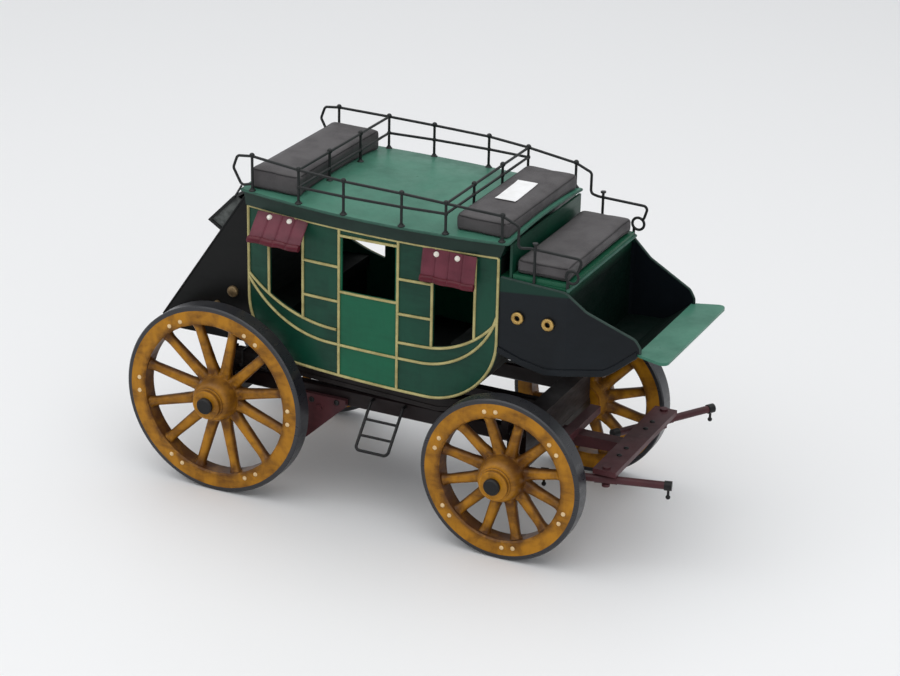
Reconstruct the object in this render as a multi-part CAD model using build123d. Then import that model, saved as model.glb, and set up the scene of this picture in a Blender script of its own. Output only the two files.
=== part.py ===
"""Display model of a four-wheeled mail coach in painted sheet metal, in millimetres.

Frame: +X forwards towards the team, +Y the coach's left side, +Z up. The origin is on
the ground, midway between the wheels' tracks and below the rear axle.
"""
import os
from math import atan, atan2, cos, degrees, hypot, pi, radians, sin, sqrt

from build123d import *

# ---------------------------------------------------------------- driving dimensions
# wheels
REAR_R, FRONT_R = 55.0, 46.0        # radius over the tyre
WHEELBASE = 174.0
FACE_Y = 66.0                       # outer face of every rim, from the centre plane
RIM_DEPTH = 10.5                    # width of tyre and felloe
TYRE_T = 2.6                        # radial thickness of the iron tyre
FELLOE_T = 8.4                      # radial thickness of the wooden felloe
SPOKES = 12
SPOKE_FOOT_R, SPOKE_TIP_R = 3.4, 2.6
DISH = 3.5                          # how far the spokes' feet stand inboard of their tips
NAVE_R, NAVE_MOUTH_R, NAVE_BACK_R = 13.0, 7.2, 9.0
NAVE_OUT, NAVE_IN = 7.4, 6.0        # nave beyond the rim's outer and inner faces

# axles
ARM_R = 2.0                         # steel axle arm
RUNNING_FIT = 0.06                  # radial clearance of a wheel on its arm
END_PLAY = 0.3                      # axial clearance at each end of a nave
CAP_R, CAP_T = 4.6, 2.4             # nut that keeps the wheel on
BED_X, BED_Z = 9.0, 9.0             # section of an axle bed

# coach body
BODY_X0, BODY_X1 = 12.0, 162.0      # rear and front walls
BODY_END_Y, BODY_MID_Y = 45.5, 51.5  # half width at the walls and amidships
SHEET = 1.2                         # sheet metal of walls and panels
HEAD_REAR_Z, HEAD_FRONT_Z = 166.0, 162.8     # head of the side panels, which falls forwards
SIDE_REAR_R, SIDE_FRONT_R = 33.5, 37.0   # turned-under corners of the side panels
KEEL_REAR_Z, KEEL_FRONT_Z = 80.0, 77.0   # lower edge of the side panels

# doors and windows
DOOR_X0, DOOR_X1 = 71.0, 106.0
DOOR_GAP = 0.15
WINDOW_TOP_Z = 159.5
DOOR_SILL_Z = 129.0
REAR_WIN_X0, REAR_WIN_X1 = 27.0, 47.6
FRONT_WIN_X0, FRONT_WIN_X1 = 126.4, 148.4
MOULD_W, MOULD_T = 1.3, 0.8         # painted wire mouldings

# roof
ROOF_X0, ROOF_X1 = 10.5, 168.0
ROOF_OVER = 4.2                     # roof beyond the side panels
CORNICE_H = 9.0
CORNICE_FOOT, CORNICE_LIP = 1.0, 0.6    # cornice beyond the panels at its foot, behind the deck's edge at its head
DECK_T = 1.4
CROWN = 3.0                         # rise of the deck amidships

# roof seats and rails
REAR_PAD = (14.0, 45.2, 48.0, 13.0)         # x from, x to, half width, top above the roof's edge
FRONT_PAD = (135.0, 165.8, 46.5, 10.2)
PAD_EASE = 2.4
WIRE_R = 0.75
POSTS = ((17.2, 194.9), (47.3, 193.2), (75.0, 192.0), (108.9, 191.0), (133.6, 189.2), (163.9, 186.4))
POST_IN = 2.9                       # posts outside the side panels' faces
BALL_R = 1.5
LOW_RAIL_Z = 183.6
CROSS_POSTS = (1, 4)                # posts joined by rails across the roof
CROSS_Y = 18.0

# front boot
BOOT_Y = ((162.0, 45.5), (201.0, 47.2), (239.8, 39.9))   # plan of its sides
LEDGE_Z, LEDGE_X = 152.0, 201.0
BOOT_TOP = ((162.0, LEDGE_Z), (200.0, LEDGE_Z - 1.5), (211.0, 141.0), (236.5, 129.0), (239.8, 124.5),
            (239.8, 121.6), (238.0, 121.6))
BOOT_KEEL = ((238.0, 120.0), (226.6, 110.6), (221.0, 107.2), (204.6, 105.2), (189.6, 102.9), (176.0, 105.2),
             (162.0, 109.6))
SEAT_BOARD_T = 2.4
DRIVER_PAD = (ROOF_X1 + 1.6, 200.5, 44.5)         # x from, x to, half width
DRIVER_PAD_H, DRIVER_PAD_EASE = 8.6, 2.2
DRIVER_RAIL_Y, DRIVER_RAIL_RISE = 45.5, 18.6     # the rail's height is above the seat ledge
HAND_RING_X, HAND_RING_RISE, HAND_RING_R = 202.6, 7.0, 3.4
FOOT_X0, FOOT_X1, FOOT_Y0, FOOT_Y1, FOOT_T = 238.0, 256.0, 39.8, 46.2, 1.6
FOOT_CORNER_R = 3.6
EYELET_XS, EYELET_Z, EYELET_R, EYELET_WIRE_R = (173.5, 191.0), 131.4, 2.4, 1.1

# rear boot
REAR_BOOT_Y = 43.5
REAR_BOOT_SLOPE = ((9.6, 170.0), (-45.0, 89.8))
REAR_BOOT_SKIN = 1.2
REAR_BOOT_STUDS = ((1.0, 112.4, 2.9), (-9.2, 103.2, 1.6))     # x, z, radius
HOOD_TOP, HOOD_LIP = (0.6, 167.2), (-15.6, 150.8)     # upper and lower corner of the hood's outer plate
HOOD_PLATE_T, HOOD_Y = 1.9, 41.6

# running gear
KING_R = 1.6
PERCH_Z, PERCH_H, PERCH_W, SIDE_PERCH_Y = 56.6, 9.6, 5.0, 38.0
BOLSTER_Z, BOLSTER_X, BOLSTER_Y = 68.0, 5.5, 44.0      # top and half sizes of the bolsters
STRAP_Y, STRAP_W, STRAP_T = 44.0, 7.0, 2.5
STRAP_LINE = ((3.0, 79.4), (45.5, 79.7), (128.0, 76.6), (WHEELBASE - 8.0, 82.4))
BRAKE_X, BRAKE_Z = 66.0, 60.0
BRAKE_HANGER = ((44.5, 61.0), (71.0, 61.0), (71.0, 57.0), (46.5, 34.0), (44.5, 34.0))
BRAKE_HANGER_T = 3.0
STEP_X, STEP_W, STEP_WIRE_R = 96.5, 19.5, 0.85
STEP_HANG_Y, STEP_HANG_Z = 43.5, 64.0
STEP_FOOT_Y, STEP_FOOT_Z = 62.0, 43.0
RUNG_ZS = (56.4, 49.4)

# splinter bar and singletrees
BAR_X, BAR_W, BAR_HALF, BAR_Z, BAR_T = WHEELBASE + 51.0, 13.0, 45.0, 51.6, 3.0
TREE_Y, TREE_HALF, TREE_R, TREE_Z = 41.5, 34.8, 2.1, 48.2
TREE_ANGLE = {"right": 14.0, "left": 58.0}   # from straight ahead, at rest
CROSSBAR_X, CROSSBAR_W, CROSSBAR_HALF, CROSSBAR_H = WHEELBASE + 15.8, 6.0, 28.0, 4.4
FERRULE_R, FERRULE_L = 2.6, 4.0

# window blinds
BLIND_H, BLIND_T, BLIND_ROLL_R = 18.5, 0.8, 1.3
BLIND_DROP = 0.9                    # below the side panels' head
BLINDS = ((21.0, 52.0, 12.4), (120.0, 151.0, 3.4))    # x from, x to, stand-off at the foot

# ---------------------------------------------------------------- derived places
BODY_CX = (BODY_X0 + BODY_X1) / 2
BOW_RISE = BODY_MID_Y - BODY_END_Y
BOW_R = (((BODY_X1 - BODY_X0) / 2) ** 2 + BOW_RISE ** 2) / (2 * BOW_RISE)
BOW_CY = BODY_MID_Y - BOW_R
HEAD_SLOPE = (HEAD_REAR_Z - HEAD_FRONT_Z) / (BODY_X1 - BODY_X0)
ROOF_TILT = atan(HEAD_SLOPE)
ROOF_HALF = BODY_MID_Y + ROOF_OVER
DECK_R = (ROOF_HALF ** 2 + CROWN ** 2) / (2 * CROWN)
TALL = 400.0                        # longer than any piece, for cutting tools
SIDES = {"right": -1, "left": 1}

parts = {}


def add(name, shape):
    """Keep a finished piece under its node name."""
    parts[name] = shape


def head_z(x):
    """Height of the side panels' head at a station x."""
    return HEAD_REAR_Z - HEAD_SLOPE * (x - BODY_X0)


def deck_z(x, y=ROOF_HALF):
    """Height of the crowned deck above a point of the plan, by default at its widest edge."""
    return head_z(x) + CORNICE_H + CROWN + (sqrt(DECK_R ** 2 - y ** 2) - DECK_R) / cos(ROOF_TILT)


def box(x0, x1, y0, y1, z0, z1):
    """A block between two corners."""
    return Pos((x0 + x1) / 2, (y0 + y1) / 2, (z0 + z1) / 2) * Box(x1 - x0, y1 - y0, z1 - z0)


def prism_xz(face_wire, y0, y1):
    """Extrude an outline drawn in the XZ plane from y0 to y1."""
    face = make_face(face_wire)
    return Pos(0, y0, 0) * extrude(face, amount=y1 - y0, dir=(0, 1, 0))


def xz(points):
    """Points of an XZ outline as vectors in the Y = 0 plane."""
    return [(x, 0, z) for x, z in points]


def polygon_xz(points, y0, y1):
    """A prism along Y over a closed XZ polygon."""
    return prism_xz(Polyline(*xz(points), close=True), y0, y1)


def bow_y(x, off=0.0):
    """Half width of the bowed side at a station x, off millimetres outside the panel."""
    return BOW_CY + sqrt((BOW_R + off) ** 2 - (x - BODY_CX) ** 2)


def bow_sheet(side, outer, thick):
    """A vertical sheet that follows the bowed side, its outer face at the given offset."""
    ring = Cylinder(BOW_R + outer, TALL) - Cylinder(BOW_R + outer - thick, TALL)
    return Pos(BODY_CX, side * BOW_CY, 0) * ring


def bow_block(outer):
    """Everything between the two bowed sides, out to the given offset."""
    one = Pos(BODY_CX, BOW_CY, 0) * Cylinder(BOW_R + outer, TALL)
    two = Pos(BODY_CX, -BOW_CY, 0) * Cylinder(BOW_R + outer, TALL)
    return one & two


def rod(a, b, r):
    """A round bar from point a to point b."""
    a, b = Vector(*a), Vector(*b)
    return Plane(origin=a, z_dir=b - a) * Cylinder(r, (b - a).length, align=(Align.CENTER, Align.CENTER, Align.MIN))


def wire(points, r, bend):
    """A round wire through points, its corners bent to the given radius or radii."""
    path = FilletPolyline(*points, radius=bend) if len(points) > 2 else Line(*points)
    section = Plane(origin=path @ 0, z_dir=path % 0) * Circle(r)
    return sweep(section, path=path)


# ---------------------------------------------------------------- wheels and axles
SPOKE_FOOT_Y = FACE_Y - RIM_DEPTH / 2 - DISH       # middle plane of the spokes' feet
NAVE_MOUTH_Y, NAVE_TAIL_Y = FACE_Y + NAVE_OUT, FACE_Y - RIM_DEPTH - NAVE_IN


def on_wheel(shape, radius, side, x):
    """Stand a left-hand wheel's piece, drawn about the Y axis, on the ground at station x."""
    return Pos(x, 0, radius) * (mirror(shape, about=Plane.XZ) if side < 0 else shape)


def nave_body():
    """Turned nave without its bore: stepped tail, barrel with the spoke bed, and tapering mouth."""
    foot, mouth, tail = SPOKE_FOOT_Y, NAVE_MOUTH_Y, NAVE_TAIL_Y
    lip = NAVE_MOUTH_R + 1.0
    profile = Polyline(
        (0, tail), (NAVE_BACK_R, tail), (NAVE_BACK_R, tail + 2.0), (NAVE_R - 1.2, foot - 4.6),
        (NAVE_R, foot - 3.6), (NAVE_R, foot + 3.6), (NAVE_R - 1.4, foot + 4.6), (NAVE_R - 1.8, foot + 7.6),
        (lip + 0.8, mouth - 5.0), (lip, mouth - 3.0), (lip, mouth - 0.8), (NAVE_MOUTH_R, mouth), (0, mouth),
        close=True)
    return revolve(Plane.XY * make_face(profile), axis=Axis.Y)


def wheel_wood(radius):
    """Dished spokes let into the nave's barrel, and the felloe ring round them."""
    rim_out = radius - TYRE_T
    rim_in = rim_out - FELLOE_T
    face, back = FACE_Y, FACE_Y - RIM_DEPTH
    ease = 0.8
    rim_profile = Polyline(
        (rim_in, back + ease), (rim_in + ease, back), (rim_out, back), (rim_out, face),
        (rim_in + ease, face), (rim_in, face - ease), close=True)
    wood = revolve(Plane.XY * make_face(rim_profile), axis=Axis.Y)
    tip = (face + back) / 2
    for k in range(SPOKES):
        turn = 2 * pi * (k + 0.5) / SPOKES
        a = Vector((NAVE_R - 1.5) * cos(turn), SPOKE_FOOT_Y, (NAVE_R - 1.5) * sin(turn))
        b = Vector((rim_in + 1.2) * cos(turn), tip, (rim_in + 1.2) * sin(turn))
        wood += Plane(origin=a, z_dir=b - a) * Cone(
            SPOKE_FOOT_R, SPOKE_TIP_R, (b - a).length, align=(Align.CENTER, Align.CENTER, Align.MIN))
    return wood - nave_body()


def tyre(radius):
    """Plain iron tyre shrunk on the felloes, its outer edges eased."""
    inner = radius - TYRE_T
    ease = 0.7
    back = FACE_Y - RIM_DEPTH
    outline = Polyline(
        (inner, back), (radius - ease, back), (radius, back + ease), (radius, FACE_Y - ease),
        (radius - ease, FACE_Y), (inner, FACE_Y), close=True)
    return revolve(Plane.XY * make_face(outline), axis=Axis.Y)


def axle(radius, x, bed_half, kingpin=False):
    """Axle bed with its arms, collars and the nuts that keep the wheels on."""
    mouth, tail = NAVE_MOUTH_Y, NAVE_TAIL_Y
    bed = box(x - BED_X / 2, x + BED_X / 2, -bed_half, bed_half, radius - BED_Z / 2, radius + BED_Z / 2)
    bed = chamfer(bed.edges().filter_by(Axis.Y), 1.2)
    if kingpin:
        bed -= Pos(x, 0, radius) * Cylinder(KING_R + RUNNING_FIT, TALL)
    shape = bed
    for s in (-1, 1):
        shape += rod((x, s * (bed_half - 2), radius), (x, s * (mouth + END_PLAY + CAP_T), radius), ARM_R)
        shape += rod((x, s * (bed_half - 2), radius), (x, s * (tail - END_PLAY), radius), ARM_R + 2.2)
        nut = rod((x, s * (mouth + END_PLAY), radius), (x, s * (mouth + END_PLAY + CAP_T), radius), CAP_R)
        shape += chamfer(nut.edges().filter_by(lambda e: abs(abs(e.center().Y) - mouth - END_PLAY - CAP_T) < 0.01), 0.8)
    return shape


WHEELS = {"rear": (REAR_R, 0.0), "front": (FRONT_R, WHEELBASE)}
NAVE = nave_body() - Rot(90, 0, 0) * Cylinder(ARM_R + RUNNING_FIT, TALL)
for place, (r, x) in WHEELS.items():
    wood, iron = wheel_wood(r), tyre(r)
    for hand, s in SIDES.items():
        add(f"wheel_{place}_{hand}", on_wheel(wood, r, s, x))
        add(f"nave_{place}_{hand}", on_wheel(NAVE, r, s, x))
        add(f"tyre_{place}_{hand}", on_wheel(iron, r, s, x))

BED_HALF = NAVE_TAIL_Y - END_PLAY - 1.5
add("rear_axle", axle(REAR_R, 0.0, BED_HALF))
add("front_axle", axle(FRONT_R, WHEELBASE, BED_HALF, kingpin=True))


# ---------------------------------------------------------------- body sides
def side_outline():
    """Side panel outline: sloping head, straight ends, round turned-under corners, nearly flat keel."""
    rear_c = (BODY_X0 + SIDE_REAR_R, KEEL_REAR_Z + SIDE_REAR_R)
    front_c = (BODY_X1 - SIDE_FRONT_R, KEEL_FRONT_Z + SIDE_FRONT_R)
    q = sqrt(0.5)
    rear_mid = (rear_c[0] - q * SIDE_REAR_R, rear_c[1] - q * SIDE_REAR_R)
    front_mid = (front_c[0] + q * SIDE_FRONT_R, front_c[1] - q * SIDE_FRONT_R)
    p = xz([(BODY_X0, HEAD_REAR_Z), (BODY_X0, rear_c[1]), rear_mid, (rear_c[0], KEEL_REAR_Z),
            (front_c[0], KEEL_FRONT_Z), front_mid, (BODY_X1, front_c[1]), (BODY_X1, HEAD_FRONT_Z)])
    return [Line(p[0], p[1]), ThreePointArc(p[1], p[2], p[3]), Line(p[3], p[4]),
            ThreePointArc(p[4], p[5], p[6]), Line(p[6], p[7]), Line(p[7], p[0])]


# belts: level between the knees, then an arc up to each end, as (level, knee x, arc radius)
BELTS = {"lower": ((97.6, 66.0, 66.0), (96.6, 120.0, 42.4)),
         "upper": ((106.0, 69.0, 86.0), (106.0, 122.0, 48.5))}


def belt_z(name, x):
    """Height of a belt's centre line at a station x."""
    (z0, x0, r0), (z1, x1, r1) = BELTS[name]
    if x < x0:
        return z0 + r0 - sqrt(r0 ** 2 - (x0 - x) ** 2)
    if x > x1:
        return z1 + r1 - sqrt(r1 ** 2 - (x - x1) ** 2)
    return z0 + (z1 - z0) * (x - x0) / (x1 - x0)


def belt_strip(name, x_from, x_to, width):
    """A prism along Y over a belt from one station to another, as lines and arcs."""
    (z0, x0, r0), (z1, x1, r1) = BELTS[name]
    half = width / 2
    pieces = []
    if x_from < x0:
        disc = Pos(x0, 0, z0 + r0) * Rot(90, 0, 0) * (Cylinder(r0 + half, TALL) - Cylinder(r0 - half, TALL))
        pieces.append(disc & box(x_from, min(x0, x_to), -TALL, TALL, z0 - half, z0 + r0))
    if x_to > x1:
        disc = Pos(x1, 0, z1 + r1) * Rot(90, 0, 0) * (Cylinder(r1 + half, TALL) - Cylinder(r1 - half, TALL))
        pieces.append(disc & box(max(x1, x_from), x_to, -TALL, TALL, z1 - half, z1 + r1))
    a, b = max(x0, x_from), min(x1, x_to)
    if b > a:
        za, zb = belt_z(name, a), belt_z(name, b)
        pieces.append(polygon_xz([(a, za - half), (b, zb - half), (b, zb + half), (a, za + half)], -TALL, TALL))
    strip = pieces[0]
    for piece in pieces[1:]:
        strip += piece
    return strip


def window_cut(x0, x1):
    """Opening of a quarter window: straight jambs and head, sill along the upper belt."""
    sill = [(x, belt_z("upper", x) + MOULD_W / 2) for x in (x0, (x0 + x1) / 2, x1)]
    arc = ThreePointArc(*xz(sill))
    rest = Polyline(*xz([sill[2], (x1, WINDOW_TOP_Z), (x0, WINDOW_TOP_Z), sill[0]]))
    return prism_xz([arc, rest], -TALL, TALL)


SIDE_PRISM = prism_xz(side_outline(), -TALL, TALL)
WINDOWS = window_cut(REAR_WIN_X0, REAR_WIN_X1) + window_cut(FRONT_WIN_X0, FRONT_WIN_X1)
DOOR_WINDOW = box(DOOR_X0 + 1.6, DOOR_X1 - 1.6, -TALL, TALL, DOOR_SILL_Z, WINDOW_TOP_Z)
DOOR_BLOCK = box(DOOR_X0, DOOR_X1, -TALL, TALL, 0, WINDOW_TOP_Z + 1.8)
DOOR_INNER = box(DOOR_X0 + DOOR_GAP, DOOR_X1 - DOOR_GAP, -TALL, TALL, 0, WINDOW_TOP_Z + 1.8 - DOOR_GAP)


def bar_x(x, z0, z1):
    """A vertical moulding strip centred on a station x."""
    return box(x - MOULD_W / 2, x + MOULD_W / 2, -TALL, TALL, z0, z1)


def bar_z(z, x0, x1):
    """A level moulding strip centred on a height z."""
    return box(x0, x1, -TALL, TALL, z - MOULD_W / 2, z + MOULD_W / 2)


def moulding_pattern():
    """All wire mouldings of a side, as one prism along Y, before it is bent to the bow."""
    rim_block = prism_xz(side_outline(), -TALL, TALL)
    rim = rim_block
    inner = [offset(make_face(side_outline()), amount=-MOULD_W)]
    rim -= Pos(0, -TALL, 0) * extrude(inner[0], amount=2 * TALL, dir=(0, 1, 0))
    end = MOULD_W / 2
    pattern = rim
    for name in BELTS:
        pattern += belt_strip(name, BODY_X0 + end, BODY_X1 - end, MOULD_W)
    for x in (DOOR_X0, DOOR_X1):
        pattern += bar_x(x, KEEL_FRONT_Z + 0.5, head_z(x) - 0.5)
    pattern += bar_z(WINDOW_TOP_Z + 0.9, DOOR_X0, DOOR_X1)
    pattern += bar_z(DOOR_SILL_Z - 0.6, DOOR_X0, DOOR_X1)
    frame_xs = (REAR_WIN_X0 - 0.8, REAR_WIN_X1 + 0.8, FRONT_WIN_X0 - 0.8, FRONT_WIN_X1 + 0.8)
    for x in frame_xs:
        pattern += bar_x(x, belt_z("upper", x), WINDOW_TOP_Z + 1.0)
    for z in RAIL_ZS:
        pattern += bar_z(z, frame_xs[1], DOOR_X0)
        pattern += bar_z(z, DOOR_X1, frame_xs[2])
    return pattern & rim_block


RAIL_ZS = (122.4, 142.2)
MOULDINGS = moulding_pattern()
for hand, s in SIDES.items():
    panel = bow_sheet(s, 0.0, SHEET) & SIDE_PRISM
    add(f"side_panel_{hand}", panel - WINDOWS - DOOR_BLOCK)
    door = bow_sheet(s, 0.0, SHEET) & SIDE_PRISM & DOOR_INNER
    add(f"door_{hand}", door - DOOR_WINDOW)
    add(f"mouldings_{hand}", (bow_sheet(s, MOULD_T, MOULD_T) & MOULDINGS) - WINDOWS)


# ---------------------------------------------------------------- cabin shell
CABIN = bow_block(-SHEET)
pan = SIDE_PRISM - Pos(0, -TALL, 0) * extrude(
    offset(make_face(side_outline()), amount=-SHEET), amount=2 * TALL, dir=(0, 1, 0))
PAN_REAR_Z, PAN_FRONT_Z = KEEL_REAR_Z + SIDE_REAR_R, KEEL_FRONT_Z + SIDE_FRONT_R
add("floor_pan", (pan & CABIN) & box(BODY_X0, BODY_X1, -TALL, TALL, 0, min(PAN_REAR_Z, PAN_FRONT_Z)))
wall_z = min(PAN_REAR_Z, PAN_FRONT_Z)
end_walls = (CABIN & SIDE_PRISM) & box(BODY_X0, BODY_X1, -TALL, TALL, wall_z, TALL)
add("end_walls", end_walls - box(BODY_X0 + SHEET, BODY_X1 - SHEET, -TALL, TALL, 0, TALL))

BENCH_SEAT_Z, BENCH_T, BENCH_BACK_Z = 104.0, 6.0, 138.0
ROOM = bow_block(-SHEET - 0.4) & (Pos(0, -TALL, 0) * extrude(
    offset(make_face(side_outline()), amount=-SHEET - 0.2), amount=2 * TALL, dir=(0, 1, 0)))


def bench(wall_x, toward):
    """Passenger bench against an end wall: riser board, seat cushion and back cushion."""
    def block(d0, d1, z0, z1):
        xs = sorted((wall_x + toward * d0, wall_x + toward * d1))
        return box(xs[0], xs[1], -TALL, TALL, z0, z1)
    riser = block(22.0, 23.4, KEEL_FRONT_Z, BENCH_SEAT_Z)
    seat = block(0.3, 25.0, BENCH_SEAT_Z, BENCH_SEAT_Z + BENCH_T)
    back = block(0.3, 5.3, BENCH_SEAT_Z + BENCH_T - 0.5, BENCH_BACK_Z)
    return ROOM & (riser + seat + back)


add("benches", bench(BODY_X0 + SHEET, 1) + bench(BODY_X1 - SHEET, -1))

# ---------------------------------------------------------------- roof
def deck_drum(r_off):
    """Drum along the sloping roof whose top is the crowned deck, raised by r_off."""
    axis_z = deck_z(BODY_CX, 0) - DECK_R / cos(ROOF_TILT)
    return Pos(BODY_CX, 0, axis_z) * Rot(0, 90 + degrees(ROOF_TILT), 0) * Cylinder(DECK_R + r_off, 2 * TALL)


def flared_block(low, high, z0, z1):
    """Everything between the two bowed sides, its offset growing from low at z0 to high at z1."""
    cone = Cone(BOW_R + low, BOW_R + high, z1 - z0, align=(Align.CENTER, Align.CENTER, Align.MIN))
    return (Pos(BODY_CX, BOW_CY, z0) * cone) & (Pos(BODY_CX, -BOW_CY, z0) * cone)


plan = bow_block(ROOF_OVER) & box(ROOF_X0, ROOF_X1, -TALL, TALL, HEAD_FRONT_Z - 20, HEAD_REAR_Z + 40)
plan = fillet(plan.edges().filter_by(Axis.Z), 3.0)
add("roof_deck", (plan & deck_drum(0)) - deck_drum(-DECK_T))

room = bow_block(-SHEET) & box(BODY_X0 + SHEET, BODY_X1 - SHEET, -TALL, TALL, 0, TALL)
rise = CORNICE_H + CROWN
cornice_end = [(BODY_X0 - 0.3, head_z(BODY_X0 - 0.3)), (BODY_X1 + 0.6, head_z(BODY_X1 + 0.6)),
               (ROOF_X1 - CORNICE_LIP, head_z(ROOF_X1) + rise), (ROOF_X0 + CORNICE_LIP, head_z(ROOF_X0) + rise)]
band = flared_block(CORNICE_FOOT, ROOF_OVER - CORNICE_LIP, HEAD_FRONT_Z - 0.5, HEAD_REAR_Z + rise)
add("roof_cornice", (band & polygon_xz(cornice_end, -TALL, TALL) & deck_drum(-DECK_T)) - room)


def roof_pad(x0, x1, half, rise):
    """Buttoned seat pad standing on the crowned deck, level with the roof's slope."""
    mid = (x0 + x1) / 2
    pad = Pos(mid, 0, deck_z(mid) - 6.0) * Rot(0, degrees(ROOF_TILT), 0) * Box(
        x1 - x0, 2 * half, rise + 6.0, align=(Align.CENTER, Align.CENTER, Align.MIN))
    pad = fillet([e for e in pad.edges() if abs((e % 0.5).Z) > 0.9], 5.0)
    pad = fillet(pad.faces().sort_by(Axis.Z)[-1].edges(), PAD_EASE)
    return pad - deck_drum(0.3)


add("roof_seat_rear", roof_pad(*REAR_PAD))
add("roof_seat_front", roof_pad(*FRONT_PAD))


def side_rail(s):
    """Wire guard rail of one side of the roof, carried on to the driver's seat."""
    def at(x, z, y=None):
        y = bow_y(min(x, POSTS[-1][0]), POST_IN) if y is None else y
        return (x, s * y, z)
    x1, z1 = POSTS[0]
    rear_y = bow_y(x1, POST_IN)
    foot_z = deck_z(x1) + 4.4
    loop = [at(x1, foot_z, rear_y), at(x1 - 6.6, foot_z - 1.6, rear_y), at(x1 - 11.6, z1 - 8.0, rear_y),
            at(x1 - 9.0, z1 - 1.0, rear_y), at(x1, z1)]
    top = wire(loop, WIRE_R, 2.4)
    for (xa, za), (xb, zb) in zip(POSTS, POSTS[1:]):
        top += rod(at(xa, za), at(xb, zb), WIRE_R)
    last_x, last_z = POSTS[-1]
    bend_x, end_y = last_x + 9.3, bow_y(last_x, POST_IN)
    rail_z, run_x = LEDGE_Z + DRIVER_RAIL_RISE, LEDGE_X + 4.9
    top += wire([at(last_x, last_z), at(bend_x, last_z - 4.0, end_y), at(bend_x, rail_z, end_y),
                 at(bend_x + 5.5, rail_z, DRIVER_RAIL_Y), at(run_x + 2.0, rail_z - 1.0, DRIVER_RAIL_Y),
                 at(run_x, LEDGE_Z + 11.0, DRIVER_RAIL_Y)], WIRE_R, 2.2)
    ring_z = LEDGE_Z + HAND_RING_RISE
    top += Pos(HAND_RING_X, s * DRIVER_RAIL_Y, ring_z) * Rot(90, 0, 0) * Torus(HAND_RING_R, WIRE_R)
    ring_top = (HAND_RING_X + 0.7 * HAND_RING_R, ring_z + 0.7 * HAND_RING_R)
    top += rod(at(run_x, LEDGE_Z + 11.0, DRIVER_RAIL_Y), at(*ring_top, DRIVER_RAIL_Y), WIRE_R)
    stay_x, foot_x = LEDGE_X - 19.5, HAND_RING_X - 2.4
    top += rod(at(stay_x, LEDGE_Z, DRIVER_RAIL_Y), at(stay_x, rail_z + 3.2, DRIVER_RAIL_Y), WIRE_R)
    top += rod(at(stay_x, rail_z + 2.6, DRIVER_RAIL_Y), at(stay_x, rail_z + 3.4, DRIVER_RAIL_Y), BALL_R)
    top += rod(at(foot_x, LEDGE_Z, DRIVER_RAIL_Y), at(foot_x, ring_z - 2.4, DRIVER_RAIL_Y), WIRE_R)
    for x, z in POSTS:
        foot = at(x, deck_z(x, at(x, z)[1]) + 0.2)
        top += rod(foot, at(x, z), WIRE_R)
        top += rod(foot, at(x, foot[2] + 1.0), WIRE_R + 0.5)
        top += Pos(*at(x, z + 0.4)) * Sphere(BALL_R)
    lo, hi = CROSS_POSTS
    for (xa, _), (xb, _) in zip(POSTS[lo:hi], POSTS[lo + 1:hi + 1]):
        top += rod(at(xa, LOW_RAIL_Z), at(xb, LOW_RAIL_Z), WIRE_R)
    return top


def cross_rail(x, z):
    """Wire rail across the roof between two opposite posts, with two small posts of its own."""
    low_half, top_half = bow_y(x, POST_IN) - WIRE_R - 0.15, bow_y(x, POST_IN) - BALL_R - 0.1
    shape = rod((x, -top_half, z), (x, top_half, z), WIRE_R)
    shape += rod((x, -low_half, LOW_RAIL_Z), (x, low_half, LOW_RAIL_Z), WIRE_R)
    for y in (-CROSS_Y, CROSS_Y):
        shape += rod((x, y, deck_z(x, y) + 0.1), (x, y, z), WIRE_R) + Pos(x, y, z + 0.4) * Sphere(BALL_R)
    return shape


for hand, s in SIDES.items():
    add(f"rail_{hand}", side_rail(s))
cross = [cross_rail(*POSTS[i]) for i in CROSS_POSTS]
add("rail_cross", cross[0] + cross[1])

# ---------------------------------------------------------------- front boot
def boot_plan(inset):
    """Block between the front boot's sides, inset from their outer faces."""
    pts = [(x, y - inset) for x, y in BOOT_Y]
    outline = [*pts, *[(x, -y) for x, y in reversed(pts)]]
    return extrude(make_face(Polyline(*outline, close=True)), amount=TALL)


boot_outline = [*BOOT_TOP, *BOOT_KEEL]
boot_prism = polygon_xz(boot_outline, -TALL, TALL)
hollow = boot_plan(SHEET)
eyelets = None
for hand, s in SIDES.items():
    half = box(100, 300, 0, TALL, 0, TALL) if s > 0 else box(100, 300, -TALL, 0, 0, TALL)
    plate = (boot_plan(0) - hollow) & boot_prism & half
    keel_band = [(x, z + 3.2) for x, z in reversed(BOOT_KEEL)]
    band = polygon_xz([*BOOT_KEEL, *keel_band], -TALL, TALL)
    band = ((boot_plan(-MOULD_T) - hollow) & band) & half
    add(f"boot_side_{hand}", plate + (band & boot_prism))
    (xa, ya), (xb, yb) = BOOT_Y[0], BOOT_Y[1]
    for x in EYELET_XS:
        y = ya + (yb - ya) * (x - xa) / (xb - xa)
        ring = Pos(x, s * (y + EYELET_WIRE_R + 0.12), EYELET_Z) * Rot(90, 0, 0) * Torus(EYELET_R, EYELET_WIRE_R)
        eyelets = ring if eyelets is None else eyelets + ring
add("boot_eyelets", eyelets)

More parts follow.
